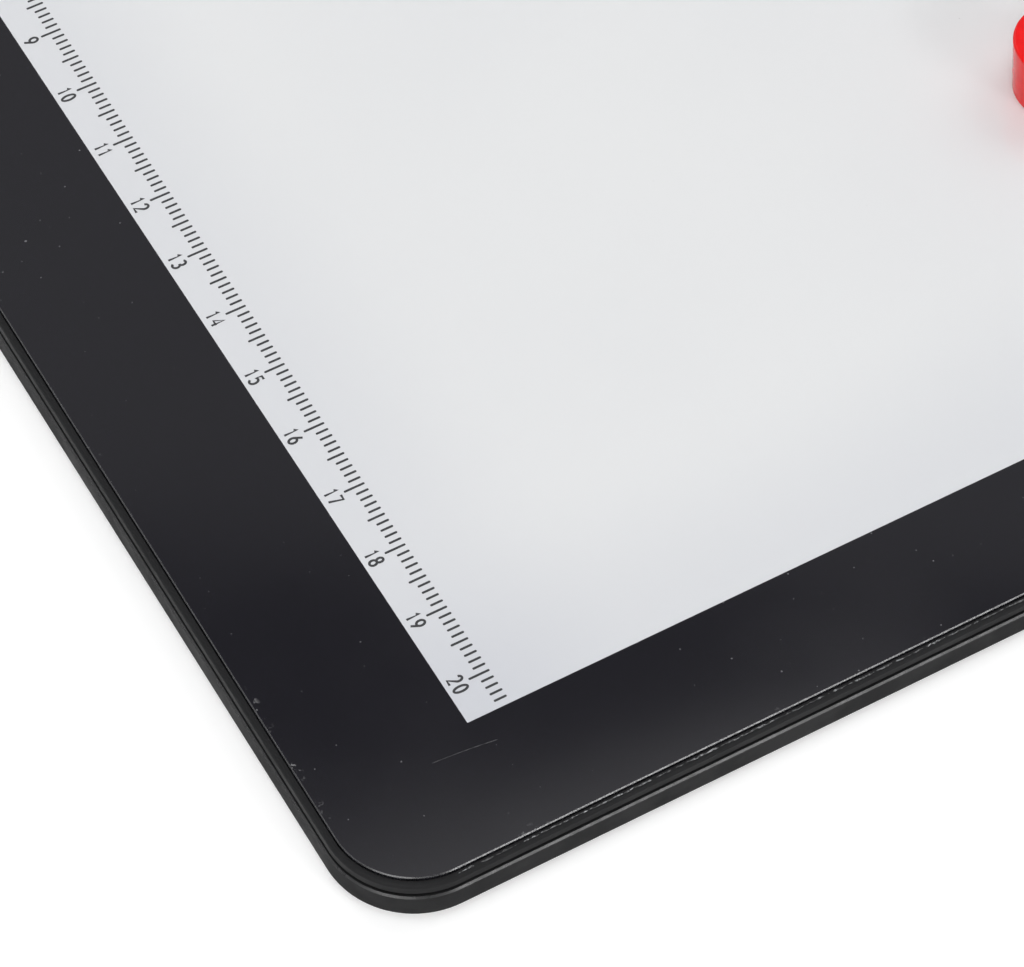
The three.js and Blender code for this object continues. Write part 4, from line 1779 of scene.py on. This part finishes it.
def bow(middle: Place, reach: Place, start: float, end: float, steps: int = 16) -> list[Place]:
    """Follows part of an oval, in shares of a figure's width and height.

    Args:
        middle: the oval's middle.
        reach: its half width and half height.
        start: the angle where the stroke starts, in degrees from the right.
        end: the angle where it ends.
        steps: how many lines it has.

    Returns:
        The stroke's points.
    """
    angles = [math.radians(start + (end - start) * step / steps) for step in range(steps + 1)]
    return [
        (middle[0] + reach[0] * math.cos(angle), middle[1] + reach[1] * math.sin(angle))
        for angle in angles
    ]


def thread(name: str, thickness: float, resolution: int) -> bpy.types.Curve:
    """Starts a curve of round section that is closed at its ends.

    Args:
        name: the curve's name.
        thickness: how thick it is.
        resolution: how finely its section is rounded.

    Returns:
        The curve, still without a line.
    """
    curve = bpy.data.curves.new(name, "CURVE")
    curve.dimensions = "3D"
    curve.bevel_depth = thickness / 2
    curve.bevel_resolution = resolution
    curve.use_fill_caps = True
    return curve


def figure_strokes() -> dict[str, list[list[Place]]]:
    """Gives each figure's strokes on a box one wide and one high, as shares of its size.

    Returns:
        The strokes by figure, each a list of places.
    """
    bowl_shares = bow((0.5, 0.3), (0.5, 0.3), 0, 360, 24)
    stem_shares = [(0.05, 0.44), (0.7, 1.0)]
    return {
        "0": [bow((0.5, 0.5), (0.5, 0.5), 0, 360, 28)],
        "1": [[(0.12, 0.76), (0.62, 1.0), (0.62, 0.0)]],
        "2": [bow((0.5, 0.72), (0.46, 0.28), 165, -32) + [(0.0, 0.0), (1.0, 0.0)]],
        "3": [
            bow((0.44, 0.755), (0.44, 0.245), 140, -90),
            bow((0.44, 0.27), (0.54, 0.27), 90, -145),
        ],
        "4": [[(0.76, 0.0), (0.76, 1.0), (0.0, 0.3), (1.0, 0.3)]],
        "5": [[(0.92, 1.0), (0.2, 1.0), (0.1, 0.56)] + bow((0.46, 0.33), (0.54, 0.33), 118, -145)],
        "6": [bowl_shares, stem_shares],
        "7": [[(0.0, 1.0), (1.0, 1.0), (0.36, 0.0)]],
        "8": [
            bow((0.5, 0.76), (0.42, 0.24), 0, 360, 24),
            bow((0.5, 0.26), (0.5, 0.26), 0, 360, 24),
        ],
        "9": [
            [(1 - across, 1 - up) for across, up in bowl_shares],
            [(1 - across, 1 - up) for across, up in stem_shares],
        ],
    }


@dataclass(frozen=True)
class Ruler:
    """The printed scale along the window's near edge, with a figure at each centimetre."""

    sizes: CaseSizes
    zero_x: float = -100.06
    last_reading: int = 204
    inner_y: float = 5.74
    millimetre_y: float = 4.07
    half_y: float = 3.43
    centimetre_y: float = 2.98
    tick_width: float = 0.3
    tick_round_share: float = 0.9
    tick_steps: int = 4
    ink_height: float = 0.02
    figure_top_y: float = 2.63
    figure_height: float = 2.1
    figure_width: float = 1.05
    figure_gap: float = 0.3
    one_width_share: float = 0.72
    stroke: float = 0.32
    stroke_resolution: int = 2

    def tick_outer(self, reading: int) -> float:
        """Gives how near to the window's edge a tick reaches.

        Args:
            reading: the tick's millimetre.

        Returns:
            Its distance from the window's edge.
        """
        if reading % 10 == 0:
            return self.centimetre_y
        if reading % 5 == 0:
            return self.half_y
        return self.millimetre_y

    def ticks(self) -> None:
        """Makes a tick of each length, copies them along the scale and joins them."""
        edge = -self.sizes.window.half_y
        top = self.sizes.panel_top
        half = self.tick_width / 2
        patterns = {}
        for outer in (self.millimetre_y, self.half_y, self.centimetre_y):
            reach = (self.inner_y - outer) / 2
            plan = RoundedPlan(half, reach, half * self.tick_round_share, 0, edge + outer + reach)
            patterns[outer] = Workpiece.plate(
                "tick", plan, top, top + self.ink_height, self.tick_steps
            )
        copies = [
            patterns[self.tick_outer(reading)].copied("tick", (self.zero_x + reading, 0, 0))
            for reading in range(self.last_reading + 1)
        ]
        for pattern in patterns.values():
            bpy.data.objects.remove(pattern.object)
        Workpiece.gathered("ruler_ticks", copies).set_down([RULER_INK], "border_ink")

    def figure_at(self, text: str, middle_x: float) -> list[tuple[str, float, float]]:
        """Spaces a reading's figures about its tick.

        Args:
            text: the reading.
            middle_x: its tick's X.

        Returns:
            Each figure with its left side and its width.
        """
        widths = [self.figure_width * (self.one_width_share if mark == "1" else 1) for mark in text]
        left = middle_x - (sum(widths) + self.figure_gap * (len(text) - 1)) / 2
        placed = []
        for mark, width in zip(text, widths):
            placed.append((mark, left, width))
            left += width + self.figure_gap
        return placed

    def figures(self) -> None:
        """Draws every figure with one pen width and flattens the strokes to ink."""
        curve = thread("ruler_figures", self.stroke, self.stroke_resolution)
        strokes = figure_strokes()
        base = -self.sizes.window.half_y + self.figure_top_y - self.figure_height + self.stroke / 2
        tall = self.figure_height - self.stroke
        for centimetres in range(self.last_reading // 10 + 1):
            middle_x = self.zero_x + 10 * centimetres
            for mark, left, width in self.figure_at(str(centimetres), middle_x):
                for stroke in strokes[mark]:
                    line = curve.splines.new("POLY")
                    line.points.add(len(stroke) - 1)
                    for point, (across, up) in zip(line.points, stroke):
                        x = left + self.stroke / 2 + across * (width - self.stroke)
                        point.co = (x, base + up * tall, 0, 1)
        figures = Workpiece.from_curve(curve)
        figures.object.scale.z = self.ink_height / self.stroke
        figures.object.location.z = self.sizes.panel_top + self.ink_height / 2
        Workpiece.settle()
        figures.set_down([RULER_INK], "border_ink", smooth_degrees=70)

    def build(self) -> None:
        """Prints the whole scale."""
        self.ticks()
        self.figures()


@dataclass(frozen=True)
class SeamGlue:
    """The thread of glue that has squeezed out between the panel and the frame on one long side."""

    sizes: CaseSizes
    out: float = 0.42
    thickness: float = 0.26
    step: float = 0.42
    wander: float = 0.06
    thinnest_share: float = 0.45
    break_share: float = 0.22
    broken_share: float = 0.1
    sink: float = 0.02
    resolution: int = 1
    seed: int = 11

    def build(self) -> None:
        """Runs a thread of uneven thickness along the seam."""
        sizes = self.sizes
        chance = random.Random(self.seed)
        reach = sizes.plan.half_y - sizes.plan.radius
        count = int(2 * reach / self.step)
        curve = thread("seam_glue", self.thickness, self.resolution)
        line = curve.splines.new("POLY")
        line.points.add(count)
        for index, point in enumerate(line.points):
            x = sizes.plan.half_x + self.out + chance.uniform(-self.wander, self.wander)
            z = sizes.frame_top - self.sink + chance.uniform(-self.wander, self.wander)
            point.co = (x, -reach + index * self.step, z, 1)
            broken = chance.random() < self.break_share
            point.radius = self.broken_share if broken else chance.uniform(self.thinnest_share, 1)
        Workpiece.from_curve(curve).set_down([GLUE], "frame_plastic", smooth_degrees=60)


# The far edge


@dataclass(frozen=True)
class PowerInlet:
    """The power inlet's plated shell with its flared mouth, and the contacts on its tongue."""

    half_width: float = 3.75
    wall: float = 0.25
    chamfer: float = 0.9
    corner: float = 0.22
    wing_width: float = 1.2
    wing_depth: float = 2.0
    wing_thickness: float = 0.25
    wing_low: float = 3.7
    contacts_a_side: int = 2
    contact_pitch: float = 0.65
    contact_width: float = 0.36
    contact_height: float = 0.05
    contact_length: float = 2.6
    contact_drop: float = 0.3
    contact_set_in: float = 0.1
    contact_break: float = 0.015

    def outline(
        self, name: str, plan: RoundedPlan, z: float, corner: float, steps: int = 5
    ) -> Workpiece:
        """Draws the inlet's outline: a rectangle with its two lower corners cut off.

        Args:
            name: the piece's name.
            plan: the rectangle, whose Y stands for height.
            z: the level that it is drawn at.
            corner: the radius of every corner.
            steps: the edges in each corner.

        Returns:
            The flat outline.
        """
        flat = Workpiece.flat(name, plan, z)
        flat.corners_cut(self.chamfer, CHAMFER_STEPS, lambda vertex: vertex.co.y < plan.y)
        return flat.corners_cut(corner, steps)

    def shell(self) -> None:
        """Draws the shell back from its mouth, adds its two board wings and reams it."""
        low, high = in_millimetres(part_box("socket_shell"))
        middle = (low + high) / 2
        plan = RoundedPlan(self.half_width, (high.z - low.z) / 2, 0, middle.x, middle.z)
        shell = self.outline("inlet_shell", plan, -high.y, self.corner)
        shell.raised(high.y - low.y).standing()
        for side in (-1, 1):
            near = middle.x + side * (self.half_width - self.wall / 2)
            far = middle.x + side * (self.half_width + self.wing_width)
            left, right = sorted((near, far))
            wing = Workpiece.block(
                "wing", (left, low.y, self.wing_low),
                (right, low.y + self.wing_depth, self.wing_low + self.wing_thickness),
            )
            shell.joined(wing, Join.ADD)
        reamer = self.outline("reamer", plan.grown(-self.wall), -high.y - OVERRUN, self.corner / 2)
        shell.joined(reamer.raised(high.y - low.y - self.wall + OVERRUN).standing(), Join.CUT)
        shell.set_down([NICKEL], "nickel", ["socket_shell"])

    def contacts(self) -> None:
        """Lays five contacts side by side under the tongue."""
        low, high = in_millimetres(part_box("socket_tongue"))
        middle = (low + high) / 2
        top = middle.z - self.contact_drop
        foot = top - self.contact_height
        half = self.contact_width / 2
        bars = []
        for count in range(-self.contacts_a_side, self.contacts_a_side + 1):
            x = middle.x + count * self.contact_pitch
            bar = Workpiece.block(
                "contact", (x - half, high.y - self.contact_length, foot),
                (x + half, high.y - self.contact_set_in, top),
            )
            bars.append(bar.rounded_at(foot, self.contact_break, BREAK_STEPS))
        Workpiece.gathered("inlet_contacts", bars).set_down([GOLD], "nickel")

    def build(self) -> None:
        """Makes the shell and the contacts."""
        self.shell()
        self.contacts()


@dataclass(frozen=True)
class PowerButton:
    """The push button: a crowned cap on a flange that keeps it in, with a stem to the switch."""

    cap_half: Place = (4.4, 1.1)
    crown: float = 0.3
    crown_steps: int = 6
    end_steps: int = 12
    flange_half: Place = (5.5, 1.35)
    cap_reach: float = 1.3
    flange_thickness: float = 0.5
    stem_half_width: float = 1.3
    stem_height: float = 1.0
    stem_z: float = 4.35
    middle_z: float = 3.8

    @classmethod
    def rounded(cls, name: str, half: Place, x: float, low: float, high: float) -> Workpiece:
        """Makes a slab with round ends at the button's height, lying on its back.

        Args:
            name: the slab's name.
            half: its half width and half height.
            x: its middle.
            low: where it starts.
            high: where it ends.

        Returns:
            The slab.
        """
        plan = RoundedPlan(*half, half[1] - ROUND_SLACK, x, cls.middle_z)
        return Workpiece.plate(name, plan, low, high, cls.end_steps)

    def build(self) -> None:
        """Draws the cap forward from its outline, crowns it and adds flange and stem."""
        low, high = in_millimetres(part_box("power_button"))
        x = (low.x + high.x) / 2
        flange_front = high.y - self.cap_reach
        back = flange_front - self.flange_thickness
        cap = self.rounded("power_button_cap", self.cap_half, x, -high.y, -back)
        cap.rounded_at(-high.y, self.crown, self.crown_steps)
        flange = self.rounded("flange", self.flange_half, x, -flange_front, -back)
        cap.joined(flange, Join.ADD).standing()
        half = self.stem_height / 2
        stem = Workpiece.block(
            "stem", (x - self.stem_half_width, low.y, self.stem_z - half),
            (x + self.stem_half_width, back + self.flange_thickness / 2, self.stem_z + half),
        )
        cap.joined(stem, Join.ADD)
        cap.set_down([BUTTON_PLASTIC], "button_plastic", ["power_button"], body="button")


# The magnet


@dataclass(frozen=True)
class PaperMagnet:
    """The red paper magnet: a moulded cap, wider at its top, over a plated disc."""

    foot_radius: float = 5.75
    top_radius: float = 6.5
    top_fillet: float = 0.4
    foot_fillet: float = 0.2
    pocket_radius: float = 4.7
    pocket_depth: float = 3.2
    disc_break: float = 0.2
    cap_sides: int = 128
    foot_steps: int = 4
    disc_sides: int = 96
    disc_steps: int = 3

    def build(self) -> None:
        """Turns the cap, hollows its foot for the disc, and turns the disc."""
        low, high = in_millimetres(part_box("magnet_cap"))
        middle = (low + high) / 2
        place = (middle.x, middle.y)
        profile = [(self.foot_radius, low.z), (self.top_radius, high.z)]
        cap = Workpiece.turned("magnet_cap_moulding", place, profile, self.cap_sides)
        cap.rounded_at(high.z, self.top_fillet, FILLET_STEPS)
        cap.rounded_at(low.z, self.foot_fillet, self.foot_steps)
        cap.faces_at(low.z)
        cap.inset(self.foot_radius - self.foot_fillet - self.pocket_radius)
        cap.draw((0, 0, self.pocket_depth))
        cap.set_down([RED_GLOSS], "magnet_red", ["magnet_cap"], body="magnet")
        disc_low, disc_high = in_millimetres(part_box("magnet_disc"))
        radius = (disc_high.x - disc_low.x) / 2
        disc = Workpiece.columns(
            "magnet_disc_body", [place], radius, disc_low.z, disc_high.z, self.disc_sides
        )[0]
        for z in (disc_low.z, disc_high.z):
            disc.rounded_at(z, self.disc_break, self.disc_steps)
        disc.set_down([NICKEL], "nickel", ["magnet_disc"], body="magnet")


# What the housing holds


class InnerParts:
    """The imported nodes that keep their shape: each gets its finish."""

    def finishes(self) -> dict[str, Finish]:
        """Gives the finish of each node that stays.

        Returns:
            The finishes by node.
        """
        return {
            "border_mask": MASK_INK,
            "panel_tape": TAPE,
            "steel_sheet": STEEL,
            "reflector_sheet": REFLECTOR,
            "light_guide": DottedGuide("dotted light guide"),
            "diffuser_sheet": DIFFUSER,
            "led_strip": LampStrip("lamp strip"),
            "control_board": CircuitBoard("green circuit board"),
            "driver_chip": CHIP_RESIN,
            "power_inductor": FERRITE,
            "input_capacitor": CappedCeramic("tinned ceramic", middle_of("input_capacitor").x),
            "socket_tongue": INSULATOR,
            "tact_switch": INSULATOR,
            "switch_plunger": NICKEL,
            "lead_wire_positive": RED_SLEEVE,
            "lead_wire_negative": BLACK_SLEEVE,
            "board_screw_1": NICKEL,
            "board_screw_2": NICKEL,
        }

    def dress(self) -> None:
        """Puts each finish on its node."""
        for name, finish in self.finishes().items():
            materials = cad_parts[name].data.materials
            materials.clear()
            materials.append(finish.material())
            LOG.info("%-24s keeps its shape, in %s", name, finish.name)


# The studio


@dataclass(frozen=True)
class Softbox:
    """A soft lamp seen from the pad: its bearing, height, tilt and spread in degrees."""

    name: str
    bearing: float
    height: float
    spread: Place
    radiance: float
    distance: float = 3.0
    tilt: float = 0.0

    def light(self, aim: Vector) -> None:
        """Hangs the lamp and turns it to the pad.

        Args:
            aim: the point that it faces, in metres.
        """
        way = math.radians(self.bearing)
        up = math.radians(self.height)
        towards = Vector((math.cos(way) * math.cos(up), math.sin(way) * math.cos(up), math.sin(up)))
        data = bpy.data.lights.new(self.name, "AREA")
        data.shape = "RECTANGLE"
        data.size, data.size_y = (
            2 * self.distance * math.tan(math.radians(spread) / 2) for spread in self.spread
        )
        data.energy = self.radiance * math.pi * data.size * data.size_y
        lamp = bpy.data.objects.new(self.name, data)
        lamp.location = aim + towards * self.distance
        lamp.rotation_mode = "QUATERNION"
        facing = (-towards).to_track_quat("-Z", "Y")
        lamp.rotation_quaternion = facing @ Quaternion((0, 0, 1), math.radians(self.tilt))
        lamp.visible_camera = False
        bpy.context.scene.collection.objects.link(lamp)


@dataclass(frozen=True)
class Studio:
    """The pale floor with its upswept wall, the lamps and the photograph's camera."""

    eye: Point = (361.84, -301.26, 478.19)
    aim: Point = (78.5, -134.1, 8.0)
    roll_degrees: float = 1.146
    lens: float = 170.92
    sensor: float = 36.0
    clip: Place = (0.01, 50.0)
    floor_radius: float = 3.2
    floor_sides: int = 96
    cove_radius: float = 0.9
    cove_steps: int = 8
    wall_height: float = 1.6
    floor_colour: Colour = srgb(232, 232, 232)
    floor_tones: Place = (0.99, 1.0)
    floor_grain: float = 400.0
    floor_glow: float = 0.36
    sky_strength: float = 0.2

    def camera(self) -> None:
        """Sets the camera where the photograph was taken from."""
        data = bpy.data.cameras.new("camera")
        data.lens = self.lens
        data.sensor_width = self.sensor
        data.clip_start, data.clip_end = self.clip
        camera = bpy.data.objects.new("camera", data)
        eye = Vector(self.eye) * MM
        forward = (Vector(self.aim) * MM - eye).normalized()
        level_view = forward.to_track_quat("-Z", "Y")
        camera.location = eye
        camera.rotation_mode = "QUATERNION"
        roll = Quaternion((0, 0, 1), math.radians(self.roll_degrees))
        camera.rotation_quaternion = level_view @ roll
        bpy.context.scene.collection.objects.link(camera)
        bpy.context.scene.camera = camera

    def floor_material(self) -> bpy.types.Material:
        """Makes the floor pale, white to the eye and to reflections, and clear from beneath.

        Returns:
            The material.
        """
        recipe = Recipe("studio paper")
        recipe.nodes.remove(recipe.shader)
        grain = recipe.spread(recipe.noise(self.floor_grain, 2))
        paper = recipe.add("BsdfDiffuse", recipe.tone(grain, self.floor_colour, *self.floor_tones))
        glow = recipe.add("Emission")
        rays = recipe.add("LightPath")
        seen = recipe.math("ADD", rays.outputs["Is Camera Ray"], rays.outputs["Is Glossy Ray"])
        through = recipe.math("ADD", seen, rays.outputs["Is Transmission Ray"])
        shown = recipe.math("MINIMUM", through, 1.0)
        recipe.feed(glow.inputs["Strength"], recipe.product(shown, self.floor_glow))
        both = recipe.add("AddShader", paper.outputs[0], glow.outputs[0])
        clear = recipe.add("BsdfTransparent")
        beneath = recipe.add("NewGeometry").outputs["Backfacing"]
        sided = recipe.add("MixShader", beneath, both.outputs[0], clear.outputs[0])
        recipe.feed(recipe.output.inputs["Surface"], sided.outputs[0])
        return recipe.material

    def floor(self) -> None:
        """Lays the floor and sweeps it up to a wall all round."""
        Workpiece.clear_selection()
        bpy.ops.mesh.primitive_circle_add(
            vertices=self.floor_sides, radius=self.floor_radius, fill_type="NOTHING"
        )
        floor = Workpiece("studio_floor")
        floor.choose(Element.EDGE, anything)
        radius = self.floor_radius
        for step in range(1, self.cove_steps + 1):
            turn = step / self.cove_steps * math.pi / 2
            last = (step - 1) / self.cove_steps * math.pi / 2
            wider = self.floor_radius + self.cove_radius * math.sin(turn)
            rise = self.cove_radius * (math.cos(last) - math.cos(turn))
            floor.draw((0, 0, rise)).resize(wider / radius, wider / radius, (0, 0, 0))
            radius = wider
        floor.draw((0, 0, self.wall_height))
        floor.choose(Element.EDGE, level(0))
        with floor.opened():
            bpy.ops.mesh.edge_face_add()
            bpy.ops.mesh.select_all(action="SELECT")
            bpy.ops.mesh.normals_make_consistent(inside=True)
        bpy.ops.object.shade_smooth()
        floor.object.data.materials.append(self.floor_material())

    def sky(self) -> None:
        """Fills the room with weak even light."""
        world = bpy.data.worlds.new("studio")
        world.use_nodes = True
        background = world.node_tree.nodes["Background"]
        background.inputs["Color"].default_value = WHITE
        background.inputs["Strength"].default_value = self.sky_strength
        bpy.context.scene.world = world

    def lamps(self) -> list[Softbox]:
        """Gives the lamps: two that the glossy border mirrors, and those that light the pad.

        Returns:
            The lamps.
        """
        return [
            Softbox("upper mirror softbox", 153.8, 67.1, (20, 14), 1.0, 12.0, 17.5),
            Softbox("lower mirror softbox", 147.0, 45.7, (25, 20.5), 0.34, 12.0),
            Softbox("front softbox", -50.0, 40.0, (36, 36), 3.5),
            Softbox("overhead softbox", -60.0, 78.0, (30, 30), 2.75),
            Softbox("right softbox", 19.0, 28.0, (18, 11), 9.5),
            Softbox("far softbox", 100.0, 48.0, (30, 30), 2.0),
            Softbox("left softbox", -175.0, 40.0, (26, 26), 2.0),
        ]

    def build(self) -> None:
        """Sets up the whole studio."""
        self.camera()
        self.floor()
        self.sky()
        for softbox in self.lamps():
            softbox.light(Vector(self.aim) * MM)
            LOG.info("lamp %s", softbox.name)
        bpy.context.scene.view_settings.view_transform = "Standard"


def main() -> None:
    """Builds the studio and the pad."""
    logging.basicConfig(level=logging.INFO, format="%(message)s")
    sizes = CaseSizes.from_frame()
    Studio().build()
    BackShell(sizes).build()
    FrontFrame(sizes).build()
    DrawingPanel(sizes).build()
    Ruler(sizes).build()
    SeamGlue(sizes).build()
    Feet().build()
    CaseScrews().build()
    PowerInlet().build()
    PowerButton().build()
    PaperMagnet().build()
    InnerParts().dress()


if __name__ == "__main__":
    main()
